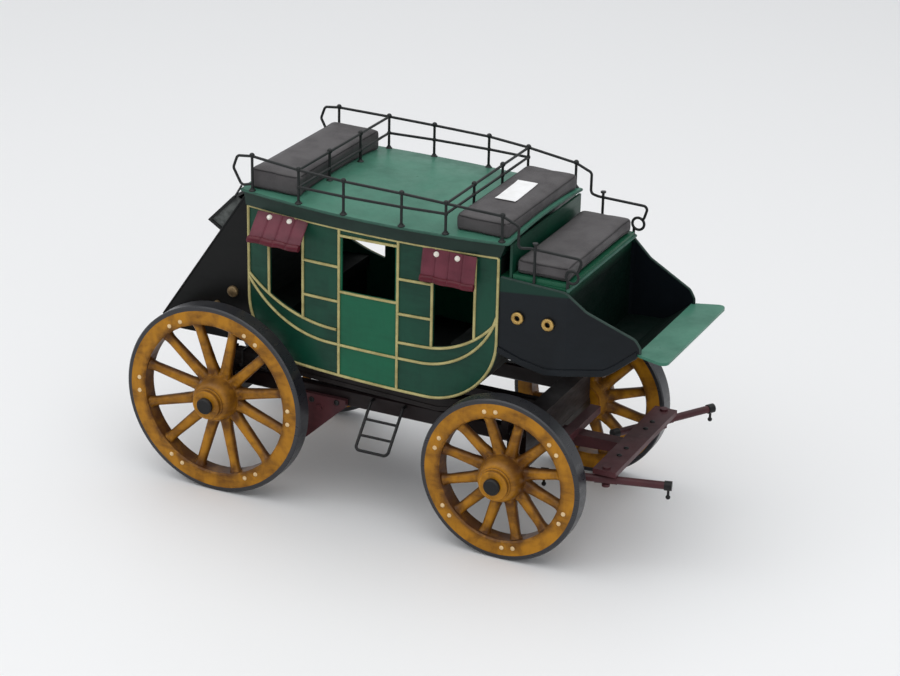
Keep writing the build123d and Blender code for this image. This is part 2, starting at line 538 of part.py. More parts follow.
under = [(x, z + SHEET) for x, z in BOOT_KEEL]
under[0] = (BOOT_KEEL[0][0], BOOT_KEEL[0][1] + 1.6)
floor_outline = [*BOOT_KEEL, *reversed(under)]
add("boot_floor", hollow & polygon_xz(floor_outline, -TALL, TALL))
ledge = box(BODY_X1, LEDGE_X, -BOOT_Y[0][1], BOOT_Y[0][1], LEDGE_Z - SHEET, LEDGE_Z)
riser_x = LEDGE_X - 3.0
riser = hollow & box(riser_x, riser_x + SHEET, -TALL, TALL, 105.6, LEDGE_Z - 0.5)
pad_x0, pad_x1, pad_half = DRIVER_PAD
seat_z = LEDGE_Z + SEAT_BOARD_T
board = box(pad_x0 - 0.5, LEDGE_X, -pad_half, pad_half, LEDGE_Z - 0.2, seat_z)
add("boot_ledge", (boot_plan(SHEET) & ledge) + riser + board)
add("seat_back_panel", box(ROOF_X1 - 0.6, ROOF_X1 + 0.8, -45.0, 45.0, LEDGE_Z, deck_z(ROOF_X1) - 1.0))
pad = box(pad_x0, pad_x1, -pad_half, pad_half, seat_z, seat_z + DRIVER_PAD_H)
pad = fillet(pad.edges().filter_by(Axis.Z), 3.0)
pad = fillet(pad.faces().sort_by(Axis.Z)[-1].edges(), DRIVER_PAD_EASE)
add("driver_seat", pad)
foot = Polyline((FOOT_X0, -FOOT_Y0), (FOOT_X1, -FOOT_Y1), (FOOT_X1, FOOT_Y1), (FOOT_X0, FOOT_Y0), close=True)
board = Pos(0, 0, BOOT_KEEL[0][1]) * extrude(make_face(foot), amount=FOOT_T)
add("footboard", fillet(board.edges().filter_by(Axis.Z).sort_by(Axis.X)[-2:], FOOT_CORNER_R))

# ---------------------------------------------------------------- rear boot
(hx, hz), (tx, tz) = REAR_BOOT_SLOPE
slope_len = hypot(hx - tx, hz - tz)
along = ((tx - hx) / slope_len, (tz - hz) / slope_len)
out = (along[1], -along[0])
tail_drop = 5.5
boot_poly = [(30.0, hz), (hx, hz), (tx, tz), (tx - 1.6, tz - tail_drop), (tx + 2.4, tz - tail_drop - 1.0), (30.0, 84.0)]
clear_body = Pos(0, -TALL, 0) * extrude(offset(make_face(side_outline()), amount=0.15), amount=2 * TALL, dir=(0, 1, 0))
wedge = polygon_xz(boot_poly, -REAR_BOOT_Y, REAR_BOOT_Y) - clear_body
wedge -= box(ROOF_X0 - 0.2, TALL, -TALL, TALL, HEAD_REAR_Z - 1, TALL)
wedge_face = make_face(Polyline(*xz(boot_poly), close=True))
cavity = Pos(0, -REAR_BOOT_Y + REAR_BOOT_SKIN, 0) * extrude(
    offset(wedge_face, amount=-REAR_BOOT_SKIN), amount=2 * (REAR_BOOT_Y - REAR_BOOT_SKIN), dir=(0, 1, 0))
inner_clear = Pos(0, -TALL, 0) * extrude(
    offset(make_face(side_outline()), amount=0.15 + REAR_BOOT_SKIN), amount=2 * TALL, dir=(0, 1, 0))
rear_boot = wedge - (cavity - inner_clear)


for x, z, r in REAR_BOOT_STUDS:
    for s in (-1, 1):
        stud = rod((x, s * (REAR_BOOT_Y - 0.6), z), (x, s * (REAR_BOOT_Y + 1.4), z), r)
        rear_boot += chamfer(stud.edges().filter_by(lambda e: abs(e.center().Y) > REAR_BOOT_Y + 1), 0.5)
add("rear_boot", rear_boot)


def slope_x(z):
    """Station of the rear boot's sloping back at a height z."""
    return tx + (hx - tx) * (z - tz) / (hz - tz)


def hood_profile(inset):
    """Outline of the hood's cheek between its outer plate, its lip and the boot's slope."""
    (ax, az), (bx, bz) = HOOD_TOP, HOOD_LIP
    lip_z = bz - 5.2
    return [(ax + inset, az - 0.4 * inset), (bx + 1.3 * inset, bz + 0.2 * inset),
            (slope_x(lip_z) - 0.1, lip_z + inset), (slope_x(az - 2.4) - 0.1, az - 2.4)]


cheek = hood_profile(0.0)
cavity = [*hood_profile(HOOD_PLATE_T)[:3], (cheek[2][0] + 6, cheek[2][1] + HOOD_PLATE_T), (20, cheek[3][1] + 8),
          (HOOD_TOP[0] + 6, HOOD_TOP[1] + 8)]
hood = polygon_xz(cheek, -HOOD_Y, HOOD_Y) - polygon_xz(cavity, -HOOD_Y - 1, HOOD_Y + 1)
face = hood_profile(0.6)
for s in (-1, 1):
    hood += polygon_xz(face, *sorted((s * (HOOD_Y - 1.0), s * (HOOD_Y - 1.0 - SHEET))))
    rear_x = POSTS[0][0]
    stay_from = (HOOD_TOP[0] + 0.4, s * (HOOD_Y - 1.2), HOOD_TOP[1] - 0.8)
    hood += rod(stay_from, (rear_x - 7.4, s * bow_y(rear_x, POST_IN - 0.9), deck_z(rear_x) + 1.6), 0.6)
add("boot_hood", hood)

# ---------------------------------------------------------------- running gear
REAR_BED_TOP, FRONT_BED_TOP = REAR_R + BED_Z / 2, FRONT_R + BED_Z / 2
rear_bolster = box(-BOLSTER_X, BOLSTER_X, -BOLSTER_Y, BOLSTER_Y, REAR_BED_TOP, BOLSTER_Z)
front_bolster = box(WHEELBASE - BOLSTER_X, WHEELBASE + BOLSTER_X, -BOLSTER_Y, BOLSTER_Y,
                    FRONT_BED_TOP + 0.3, BOLSTER_Z)
(strap_x0, strap_z0), (strap_x1, strap_z1) = STRAP_LINE[0], STRAP_LINE[-1]
for s in (-1, 1):
    ys = sorted((s * (STRAP_Y - 2.5), s * (STRAP_Y + 2.5)))
    rear_bolster += box(strap_x0 - 4.0, strap_x0, *ys, BOLSTER_Z - 1, strap_z0 + 1.4)
    front_bolster += box(strap_x1, strap_x1 + 4.0, *ys, BOLSTER_Z - 4, strap_z1 + 1.4)
front_bolster += rod((WHEELBASE, 0, BOLSTER_Z - 2), (WHEELBASE, 0, FRONT_R - BED_Z / 2 - 4.0), KING_R)
front_bolster += rod((WHEELBASE, 0, FRONT_R - BED_Z / 2 - 0.3), (WHEELBASE, 0, FRONT_R - BED_Z / 2 - 2.6), KING_R + 1.8)
add("rear_bolster", rear_bolster)
add("front_bolster", front_bolster)

for name, y in (("perch", 0.0), ("side_perch_right", -SIDE_PERCH_Y), ("side_perch_left", SIDE_PERCH_Y)):
    pole = box(BOLSTER_X, WHEELBASE - BOLSTER_X, y - PERCH_W / 2, y + PERCH_W / 2, PERCH_Z, PERCH_Z + PERCH_H)
    add(name, chamfer(pole.edges().filter_by(Axis.X), 0.9))

for hand, s in SIDES.items():
    strap = None
    for k in range(3):
        inset = 0.0 if k != 1 else 0.5
        top = [(x, z - k * STRAP_T) for x, z in STRAP_LINE]
        low = [(x, z - (k + 1) * STRAP_T) for x, z in STRAP_LINE]
        ys = sorted((s * (STRAP_Y - STRAP_W / 2 + inset), s * (STRAP_Y + STRAP_W / 2 - inset)))
        layer = polygon_xz([*top, *reversed(low)], *ys)
        strap = layer if strap is None else strap + layer
    add(f"thoroughbrace_{hand}", strap)

brake_y = SIDE_PERCH_Y - PERCH_W / 2
brake = box(BRAKE_X - 2.5, BRAKE_X + 2.5, -brake_y, brake_y, BRAKE_Z - 2.5, BRAKE_Z + 2.5)
brake -= box(0, TALL, -PERCH_W / 2, PERCH_W / 2, 0, TALL)
for s in (-1, 1):
    ys = sorted((s * (SIDE_PERCH_Y + PERCH_W / 2), s * (SIDE_PERCH_Y + PERCH_W / 2 + BRAKE_HANGER_T)))
    hanger = polygon_xz(BRAKE_HANGER, *ys)
    pivot_y = s * (SIDE_PERCH_Y + PERCH_W / 2 + BRAKE_HANGER_T - 0.5)
    hanger += rod((BRAKE_HANGER[1][0] - 16, pivot_y, BRAKE_Z - 6), (BRAKE_HANGER[1][0] - 16, pivot_y + s * 2, BRAKE_Z - 6), 1.6)
    brake += hanger
add("brake_gear", brake)

for hand, s in SIDES.items():
    x0, x1 = STEP_X - STEP_W / 2, STEP_X + STEP_W / 2
    root_y = SIDE_PERCH_Y + PERCH_W / 2
    pts = [(x0, root_y, STEP_HANG_Z), (x0, STEP_HANG_Y, STEP_HANG_Z), (x0, STEP_FOOT_Y, STEP_FOOT_Z),
           (x1, STEP_FOOT_Y, STEP_FOOT_Z), (x1, STEP_HANG_Y, STEP_HANG_Z), (x1, root_y, STEP_HANG_Z)]
    ladder = wire([(x, s * y, z) for x, y, z in pts], STEP_WIRE_R, (1.0, 2.6, 2.6, 1.0))
    for z in RUNG_ZS:
        y = STEP_HANG_Y + (STEP_FOOT_Y - STEP_HANG_Y) * (STEP_HANG_Z - z) / (STEP_HANG_Z - STEP_FOOT_Z)
        ladder += rod((x0, s * y, z), (x1, s * y, z), STEP_WIRE_R - 0.1)
    add(f"step_{hand}", ladder)

# ---------------------------------------------------------------- draught gear
hound_half, hound_z0 = 4.0, FRONT_R - 2.0
hound_x0, step_x, hound_x1 = WHEELBASE + BED_X / 2, WHEELBASE + BOLSTER_X + 2, BAR_X - 3
gear = polygon_xz([(hound_x0, hound_z0), (hound_x1, hound_z0 + 2), (hound_x1, BAR_Z), (step_x, BAR_Z),
                   (step_x, FRONT_BED_TOP), (hound_x0, FRONT_BED_TOP)], -hound_half, hound_half)
gear += box(BAR_X - BAR_W / 2, BAR_X + BAR_W / 2, -BAR_HALF, BAR_HALF, BAR_Z, BAR_Z + BAR_T)
gear += box(CROSSBAR_X - CROSSBAR_W / 2, CROSSBAR_X + CROSSBAR_W / 2, -CROSSBAR_HALF, CROSSBAR_HALF,
            BAR_Z - 0.4, BAR_Z - 0.4 + CROSSBAR_H)
PIN_R = 1.2
for s in (-1, 1):
    gear += rod((BAR_X, s * TREE_Y, BAR_Z + BAR_T + 1.2), (BAR_X, s * TREE_Y, TREE_Z - TREE_R - 1.6), PIN_R)
    gear += rod((BAR_X, s * TREE_Y, TREE_Z - TREE_R - 0.4), (BAR_X, s * TREE_Y, TREE_Z - TREE_R - 1.8), PIN_R + 1.0)
    gear += rod((BAR_X, s * TREE_Y, BAR_Z + BAR_T - 0.2), (BAR_X, s * TREE_Y, BAR_Z + BAR_T + 1.2), PIN_R + 1.0)
add("splinter_bar", gear)

for hand, s in SIDES.items():
    turn = Pos(BAR_X, s * TREE_Y, TREE_Z) * Rot(0, 0, TREE_ANGLE[hand])
    length = TREE_HALF - FERRULE_L
    tree = rod((-length, 0, 0), (length, 0, 0), TREE_R) + rod((-6, 0, 0), (6, 0, 0), TREE_R + 0.3)
    tree -= Cylinder(PIN_R + RUNNING_FIT, TALL)
    irons = None
    for e in (-1, 1):
        cap = rod((e * (length + 0.0), 0, 0), (e * TREE_HALF, 0, 0), FERRULE_R)
        hook_x = e * (TREE_HALF - 1.8)
        hook = rod((hook_x, 0, 0), (hook_x, 0, -6.2), 0.7) + Pos(hook_x, 0, -6.6) * Sphere(1.3)
        irons = cap + hook if irons is None else irons + cap + hook
    add(f"singletree_{hand}", turn * tree)
    add(f"singletree_irons_{hand}", turn * irons)

# ---------------------------------------------------------------- window blinds
blinds = None
for x0, x1, stand in BLINDS:
    mid = (x0 + x1) / 2
    head_y = max(bow_y(x0), bow_y(x1), bow_y(mid)) + MOULD_T + 0.4
    drop = sqrt(BLIND_H ** 2 - stand ** 2)
    lean = degrees(atan2(stand, drop))
    half = (x1 - x0) / 2
    sheet = box(-half, half, 0, BLIND_T, -BLIND_H, 0)
    sheet += rod((-half, BLIND_T / 2, -BLIND_H), (half, BLIND_T / 2, -BLIND_H), BLIND_ROLL_R)
    hung = Pos(mid, head_y, head_z(mid) - BLIND_DROP) * Rot(0, degrees(ROOF_TILT), 0) * Rot(lean, 0, 0) * sheet
    pair = hung + mirror(hung, about=Plane.XZ)
    blinds = pair if blinds is None else blinds + pair
add("blinds", blinds)

if __name__ == "__main__":
    os.makedirs("parts", exist_ok=True)
    bounds = Compound(children=[Compound(shape.solids()) for shape in parts.values()]).bounding_box()
    shift = Pos(-(bounds.min.X + bounds.max.X) / 2, 0, 0)
    for name, shape in parts.items():
        export_step(shift * shape, f"parts/{name}.step")
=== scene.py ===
"""Dressed display model of a four-wheeled mail coach: finishes, wires, pads, studs and light.

Lengths are worked out in millimetres from the rear axle (x forward, y left, z up) and are
written to the meshes in metres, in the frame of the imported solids.
"""
import logging
import math
from dataclasses import dataclass, field
from enum import Enum

import bmesh
import bpy
import numpy as np
from mathutils import Matrix, Vector


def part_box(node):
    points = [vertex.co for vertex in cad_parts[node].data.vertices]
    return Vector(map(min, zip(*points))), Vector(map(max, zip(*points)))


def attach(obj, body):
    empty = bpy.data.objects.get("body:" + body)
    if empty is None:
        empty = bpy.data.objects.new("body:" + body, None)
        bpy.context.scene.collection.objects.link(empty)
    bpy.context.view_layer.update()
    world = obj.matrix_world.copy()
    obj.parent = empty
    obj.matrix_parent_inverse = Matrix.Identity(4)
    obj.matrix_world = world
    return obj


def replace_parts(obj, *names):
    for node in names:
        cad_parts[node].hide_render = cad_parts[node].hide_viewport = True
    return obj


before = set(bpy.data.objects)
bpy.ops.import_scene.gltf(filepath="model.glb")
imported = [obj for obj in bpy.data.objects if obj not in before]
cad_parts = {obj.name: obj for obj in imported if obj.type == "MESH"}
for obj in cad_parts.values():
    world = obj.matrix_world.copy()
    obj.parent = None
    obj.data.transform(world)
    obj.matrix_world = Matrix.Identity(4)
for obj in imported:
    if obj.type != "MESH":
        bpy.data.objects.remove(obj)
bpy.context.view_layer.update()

MM = 0.001
WELD = 0.002  # mm, points closer than this are merged
PINCH = 1e-4  # mm, radius that closes a turned piece at its axis
LOG = logging.getLogger("coach")
Array = np.ndarray
Point = tuple[float, float, float]
Colour = tuple[float, float, float]
Line = tuple[tuple[float, float], ...]  # points in x and z, or distance and radius
Shape = tuple[Array, Array]  # points and quads
Socket = bpy.types.NodeSocket
Look = tuple[Socket, Socket, Socket]  # colour, roughness and height of a surface


# ------------------------------------------------------------------ sizes shared by the pieces
class Side(Enum):
    """A side of the coach, as the sign of y."""

    RIGHT = -1
    LEFT = 1

    @property
    def word(self) -> str:
        """The side's word in node names."""
        return self.name.lower()


@dataclass(frozen=True)
class Chassis:
    """Places that more than one sub-assembly needs, in millimetres from the rear axle."""

    rear_r: float = 55.0
    front_r: float = 46.0
    wheelbase: float = 174.0
    face_y: float = 66.0
    body_x0: float = 12.0
    body_x1: float = 162.0
    end_y: float = 45.5
    mid_y: float = 51.5
    head_rear_z: float = 166.0
    head_front_z: float = 162.8
    cornice_h: float = 9.0
    crown: float = 3.0
    roof_x0: float = 10.5
    roof_x1: float = 168.0
    roof_over: float = 4.2

    @property
    def shift(self) -> float:
        """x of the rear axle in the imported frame, from the rear wheels' box."""
        low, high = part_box("tyre_rear_right")
        return (low[0] + high[0]) / 2 / MM

    @property
    def bow(self) -> tuple[float, float, float]:
        """Plan arc of the body's side, R = (h^2 + c^2) / 2 c for a rise c over a half chord h.

        Returns:
            The arc's centre x, centre y and radius.
        """
        rise = self.mid_y - self.end_y
        half = (self.body_x1 - self.body_x0) / 2
        radius = (half ** 2 + rise ** 2) / (2 * rise)
        return (self.body_x0 + self.body_x1) / 2, self.mid_y - radius, radius

    @property
    def slope(self) -> float:
        """Fall of the roof for each millimetre forwards."""
        return (self.head_rear_z - self.head_front_z) / (self.body_x1 - self.body_x0)

    def bow_y(self, x: Array, off: float = 0.0) -> Array:
        """Half width of the bowed side, y(x) = c + sqrt((R + off)^2 - (x - m)^2).

        Args:
            x: Stations along the coach.
            off: Distance outside the panel's face.

        Returns:
            The half width at each station.
        """
        mid, centre, radius = self.bow
        return centre + np.sqrt((radius + off) ** 2 - (np.asarray(x, float) - mid) ** 2)

    def head_z(self, x: Array) -> Array:
        """Height of the side panels' head, z(x) = z0 - k (x - x0)."""
        return self.head_rear_z - self.slope * (np.asarray(x, float) - self.body_x0)

    def deck_z(self, x: Array, y: Array) -> Array:
        """Height of the crowned deck: head, cornice and an arc of radius D across the coach.

        Args:
            x: Stations along the coach.
            y: Distances from the centre plane.

        Returns:
            z = head(x) + h + c + sqrt(D^2 - y^2) - D, where the arc rises c over the half width.
        """
        half = self.mid_y + self.roof_over
        drum = (half ** 2 + self.crown ** 2) / (2 * self.crown)
        arc = np.sqrt(drum ** 2 - np.asarray(y, float) ** 2)
        return self.head_z(x) + self.cornice_h + self.crown + arc - drum


CHASSIS = Chassis()


# ------------------------------------------------------------------ meshes from arrays
def link(piece: bpy.types.Object) -> None:
    """Put an object into the scene."""
    bpy.context.scene.collection.objects.link(piece)


@dataclass
class Surface:
    """Vertices and faces that grow as shapes are added, made into one object at the end."""

    points: list[Array] = field(default_factory=list)
    faces: list[Array] = field(default_factory=list)
    count: int = 0

    def add(self, points: Array, quads: Array) -> "Surface":
        """Append a shape.

        Args:
            points: An N x 3 array in millimetres.
            quads: An M x 4 (or M x 3) array of indices into points.

        Returns:
            This surface, so calls chain.
        """
        self.points.append(points)
        self.faces.append(quads + self.count)
        self.count += len(points)
        return self

    def build(self, name: str, body: str, finish: "Finish",
              smooth: float = 35.0) -> bpy.types.Object:
        """Make the mesh object, turn its faces outwards, dress it and ride it on a body.

        Args:
            name: Object name.
            body: Body that carries the piece.
            finish: Finish that dresses it.
            smooth: Edges sharper than this many degrees stay crisp.

        Returns:
            The new object.
        """
        verts = np.concatenate(self.points)
        verts[:, 0] += CHASSIS.shift
        mesh = bpy.data.meshes.new(name)
        polys = [f for block in self.faces for f in block.tolist()]
        mesh.from_pydata((verts * MM).tolist(), [], polys)
        weld = bmesh.new()
        weld.from_mesh(mesh)
        bmesh.ops.remove_doubles(weld, verts=weld.verts, dist=WELD * MM)
        bmesh.ops.recalc_face_normals(weld, faces=weld.faces)
        weld.to_mesh(mesh)
        weld.free()
        mesh.shade_smooth()
        mesh.set_sharp_from_angle(angle=math.radians(smooth))
        piece = bpy.data.objects.new(name, mesh)
        link(piece)
        mesh.materials.append(finish.material)
        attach(piece, body)
        LOG.info("%s: %d faces", name, len(mesh.polygons))
        return piece


def grid_faces(rows: int, cols: int, wrap: bool = False) -> Array:
    """Quads of a rows x cols grid of points, face (i, j) joining points (i, j) to (i+1, j+1).

    Args:
        rows: Points along the first parameter.
        cols: Points along the second parameter.
        wrap: Join the last column to the first.

    Returns:
        An M x 4 array of indices.
    """
    i = np.arange(rows - 1)[:, None]
    j = np.arange(cols if wrap else cols - 1)[None, :]
    k = (j + 1) % cols
    here, beyond = i * cols, (i + 1) * cols
    return np.stack([here + j, here + k, beyond + k, beyond + j], -1).reshape(-1, 4)


def tube(path: Array, radius: float, toward: Point = (0, 1, 0), sides: int = 10) -> Shape:
    """A round wire along a path: P(u, v) = p(u) + r (cos v n(u) + sin v b(u)), capped.

    n is the unit vector square to the path's tangent and to the given direction, and b
    completes the frame.

    Args:
        path: K x 3 centre points.
        radius: Radius of the wire.
        toward: Direction that the path never runs along.
        sides: Points round the section.

    Returns:
        Points and quads.
    """
    path = np.asarray(path, float)
    tangent = np.gradient(path, axis=0)
    tangent /= np.linalg.norm(tangent, axis=1, keepdims=True)
    normal = np.cross(tangent, np.asarray(toward, float))
    normal /= np.linalg.norm(normal, axis=1, keepdims=True)
    binormal = np.cross(tangent, normal)
    v = np.arange(sides) * 2 * np.pi / sides
    ring = np.cos(v)[None, :, None] * normal[:, None] + np.sin(v)[None, :, None] * binormal[:, None]
    body = path[:, None] + radius * ring
    ends = np.stack([path[:1].repeat(sides, 0), path[-1:].repeat(sides, 0)])
    rings = np.concatenate([ends[:1], body, ends[1:]])
    return rings.reshape(-1, 3), grid_faces(len(rings), sides, wrap=True)


def lathe(profile: Array | Line, centre: Point, axis: Point = (0, 1, 0),
          sides: int = 32) -> Shape:
    """A turned piece: P(t, v) = c + a(t) w + r(t) (cos v e1 + sin v e2) about the axis w.

    Args:
        profile: K x 2 rows of distance along the axis and radius.
        centre: Where distance 0 lies.
        axis: Unit vector w.
        sides: Points round the axis.

    Returns:
        Points and quads.
    """
    w = np.asarray(axis, float)
    e1 = np.cross(w, (0.0, 0.0, 1.0) if abs(w[2]) < 0.9 else (1.0, 0.0, 0.0))
    e1 /= np.linalg.norm(e1)
    e2 = np.cross(w, e1)
    v = np.arange(sides) * 2 * np.pi / sides
    ring = np.cos(v)[:, None] * e1 + np.sin(v)[:, None] * e2
    profile = np.asarray(profile, float)
    along, out = profile[:, :1, None], profile[:, 1:, None]
    points = np.asarray(centre, float) + along * w + out * ring[None]
    return points.reshape(-1, 3), grid_faces(len(profile), sides, wrap=True)


def dome(radius: float, height: float, base: float = 0.0, steps: int = 5) -> Array:
    """Profile of a rivet head for lathe: a quarter ellipse on an optional short shank.

    Args:
        radius: Radius at the foot.
        height: Height of the head.
        base: How far the shank reaches below the face.
        steps: Rows in the quarter ellipse.

    Returns:
        Rows of distance and radius, a = h sin t, r = R cos t.
    """
    t = np.linspace(0, np.pi / 2, steps)
    head = np.stack([height * np.sin(t), radius * np.cos(t)], 1)
    head[-1, 1] = PINCH
    return np.concatenate([[[-base, PINCH], [-base, radius]], head])


def spread(points: list[Point] | Array, step: float) -> Array:
    """Points of a polyline set out evenly, p(s) by linear interpolation on arc length s.

    Args:
        points: Corner points.
        step: Largest distance between the new points.

    Returns:
        The new points, corners kept as near as the step allows.
    """
    pts = np.asarray(points, float)
    along = np.concatenate([[0], np.cumsum(np.linalg.norm(np.diff(pts, axis=0), axis=1))])
    count = max(2, int(np.ceil(along[-1] / step)) + 1)
    s = np.linspace(0, along[-1], count)
    return np.stack([np.interp(s, along, pts[:, k]) for k in range(pts.shape[1])], 1)


def round_corners(points: list[Point] | Array, step: float, reach: float) -> Array:
    """A polyline with eased corners: spread points averaged over a sliding window of 2 reach.

    Args:
        points: Corner points.
        step: Distance between the new points.
        reach: Half width of the averaging window along the line.

    Returns:
        The eased points, both ends kept.
    """
    pts = spread(points, step)
    k = max(1, int(reach / step))
    kernel = np.hanning(2 * k + 3)[1:-1]
    kernel /= kernel.sum()
    first, last = pts[:1], pts[-1:]
    lead = 2 * first - pts[1:k + 1][::-1]
    tail = 2 * last - pts[-k - 1:-1][::-1]
    long = np.concatenate([lead, pts, tail])
    eased = np.stack([np.convolve(long[:, c], kernel, mode="valid") for c in range(3)], 1)
    eased[0], eased[-1] = first[0], last[0]
    return eased


# ------------------------------------------------------------------ shader building
class Graph:
    """Short calls that add nodes to a node tree; a value may be a number, a tuple or a socket."""

    def __init__(self, tree: bpy.types.NodeTree) -> None:
        """Keep the tree."""
        self.tree = tree

    def node(self, kind: str, **settings: object) -> bpy.types.Node:
        """Add a node.

        Args:
            kind: Node type.
            **settings: Its properties by name.

        Returns:
            The node.
        """
        made = self.tree.nodes.new(kind)
        for key, value in settings.items():
            setattr(made, key, value)
        return made

    def feed(self, socket: Socket, value: object) -> None:
        """Link a socket or set its value.

        Args:
            socket: Input to fill.
            value: An output socket, a number or a colour.
        """
        if isinstance(value, Socket):
            self.tree.links.new(value, socket)
        elif isinstance(value, tuple) and len(value) == 3 and socket.type == "RGBA":
            socket.default_value = (*value, 1.0)
        else:
            socket.default_value = value

    def math(self, operation: str, a: object, b: object = 0.0, clamp: bool = False) -> Socket:
        """A Math node.

        Args:
            operation: What it does.
            a: First value.
            b: Second value, where there is one.
            clamp: Keep the result within 0 to 1.

        Returns:
            Its result.
        """
        made = self.node("ShaderNodeMath", operation=operation, use_clamp=clamp)
        self.feed(made.inputs[0], a)
        self.feed(made.inputs[1], b)
        return made.outputs[0]

    def times(self, a: object, b: object) -> Socket:
        """The product of two values."""
        return self.math("MULTIPLY", a, b)

    def mix(self, factor: object, a: object, b: object) -> Socket:
        """A Mix Color node.

        Args:
            factor: Share of the second colour.
            a: First colour.
            b: Second colour.

        Returns:
            The mixed colour.
        """
        made = self.node("ShaderNodeMix", data_type="RGBA")
        self.feed(made.inputs["Factor"], factor)
        colours = [s for s in made.inputs if s.type == "RGBA"]
        self.feed(colours[0], a)
        self.feed(colours[1], b)
        return [s for s in made.outputs if s.type == "RGBA"][0]

    def place(self, location: Point = (0, 0, 0), scale: Point = (1, 1, 1)) -> Socket:
        """Object coordinates through a Mapping node.

        Args:
            location: Move in metres.
            scale: Stretch along each axis.

        Returns:
            The mapped coordinates.
        """
        coords = self.node("ShaderNodeTexCoord")
        mapping = self.node("ShaderNodeMapping")
        self.feed(mapping.inputs["Vector"], coords.outputs["Object"])
        mapping.inputs["Location"].default_value = location
        mapping.inputs["Scale"].default_value = scale
        return mapping.outputs["Vector"]

    def noise(self, scale: object, vector: object = None, detail: float = 4.0,
              rough: float = 0.55, distortion: float = 0.0) -> Socket:
        """A Noise Texture.

        Args:
            scale: Waves for each metre, roughly.
            vector: Coordinates, or none for the object's own.
            detail: Octaves.
            rough: Weight of the finer octaves.
            distortion: Warp.

        Returns:
            Its value.
        """
        made = self.node("ShaderNodeTexNoise")
        self.feed(made.inputs["Vector"], self.place() if vector is None else vector)
        self.feed(made.inputs["Scale"], scale)
        made.inputs["Detail"].default_value = detail
        made.inputs["Roughness"].default_value = rough
        made.inputs["Distortion"].default_value = distortion
        return made.outputs["Fac"]

    def band(self, value: object, low: object, high: object, to_low: object = 0.0,
             to_high: object = 1.0) -> Socket:
        """A smooth Map Range.

        Args:
            value: What is mapped.
            low: Value that gives to_low.
            high: Value that gives to_high.
            to_low: Result at and below low.
            to_high: Result at and above high.

        Returns:
            The mapped value.
        """
        made = self.node("ShaderNodeMapRange", interpolation_type="SMOOTHSTEP")
        for slot, item in zip(made.inputs, (value, low, high, to_low, to_high)):
            self.feed(slot, item)
        return made.outputs[0]

    def axis(self, vector: object, letter: str) -> Socket:
        """One component of a vector.

        Args:
            vector: The vector.
            letter: X, Y or Z.

        Returns:
            The component.
        """
        made = self.node("ShaderNodeSeparateXYZ")
        self.feed(made.inputs[0], vector)
        return made.outputs[letter]

    def facing(self, letter: str) -> Socket:
        """One component of the surface's normal."""
        return self.axis(self.node("ShaderNodeNewGeometry").outputs["Normal"], letter)


COLOUR_SOCKET, VALUE_SOCKET = "NodeSocketColor", "NodeSocketFloat"


class Effect(Enum):
    """The shader groups that several finishes share."""

    PAINT = "brushed_paint"
    GRAIN = "leather_grain"
    DUST = "settled_dust"


def new_group(effect: Effect, inputs: dict[str, object],
              outputs: dict[str, str]) -> tuple[bpy.types.NodeTree, Graph, dict, dict]:
    """Open an empty node group.

    Args:
        effect: Which group.
        inputs: Socket names with a default number or colour.
        outputs: Socket names with their socket types.

    Returns:
        The tree, a graph on it, its input sockets by name and its output sockets by name.
    """
    tree = bpy.data.node_groups.new(effect.value, "ShaderNodeTree")
    for name, value in inputs.items():
        kind = COLOUR_SOCKET if isinstance(value, tuple) else VALUE_SOCKET
        made = tree.interface.new_socket(name=name, in_out="INPUT", socket_type=kind)
        made.default_value = (*value, 1.0) if isinstance(value, tuple) else value
    for name, kind in outputs.items():
        tree.interface.new_socket(name=name, in_out="OUTPUT", socket_type=kind)
    graph = Graph(tree)
    entry, leave = graph.node("NodeGroupInput"), graph.node("NodeGroupOutput")
    return tree, graph, {s.name: s for s in entry.outputs}, {s.name: s for s in leave.inputs}


def paint_group() -> bpy.types.NodeTree:
    """Hand-brushed paint: tone clouds, brush streaks, chips to bare metal and a fine orange peel.

    Returns:
        The group, with Color, Roughness and Height out.
    """
    tree, g, into, out = new_group(
        Effect.PAINT,
        {"Coat": (0.1, 0.3, 0.2), "Shade": (0.03, 0.08, 0.06), "Bare": (0.2, 0.18, 0.16),
         "Cloud": 40.0, "Shading": 0.5, "Chips": 0.1, "Gloss": 0.4},
        {"Color": COLOUR_SOCKET, "Roughness": VALUE_SOCKET, "Height": VALUE_SOCKET})
    cloud = g.band(g.noise(into["Cloud"], detail=5.0, distortion=0.4), 0.36, 0.66)
    streak = g.noise(90.0, g.place(scale=(1.0, 1.0, 5.0)), detail=6.0, rough=0.65)
    shade = g.times(g.times(cloud, into["Shading"]), g.band(streak, 0.3, 0.7, 0.5, 1.0))
    coat = g.mix(shade, into["Coat"], into["Shade"])
    drag = g.noise(420.0, g.place(scale=(1.0, 1.0, 0.25)), detail=4.0)
    coat = g.mix(g.band(drag, 0.45, 0.75, 0.0, 0.16), coat, into["Shade"])
    spots = g.noise(300.0, detail=8.0, rough=0.7)
    edge = g.math("SUBTRACT", 0.9, g.times(into["Chips"], 0.5))
    chip = g.band(spots, edge, g.math("ADD", edge, 0.03))
    g.feed(out["Color"], g.mix(chip, coat, into["Bare"]))
    rough = g.math("ADD", into["Gloss"], g.band(streak, 0.2, 0.8, -0.08, 0.12))
    g.feed(out["Roughness"], g.math("ADD", rough, g.times(chip, 0.2), clamp=True))
    peel = g.noise(900.0, detail=2.0)
    height = g.math("ADD", g.times(peel, 0.25), g.times(streak, 0.5))
    g.feed(out["Height"], g.math("SUBTRACT", height, g.times(chip, 0.9)))
    return tree


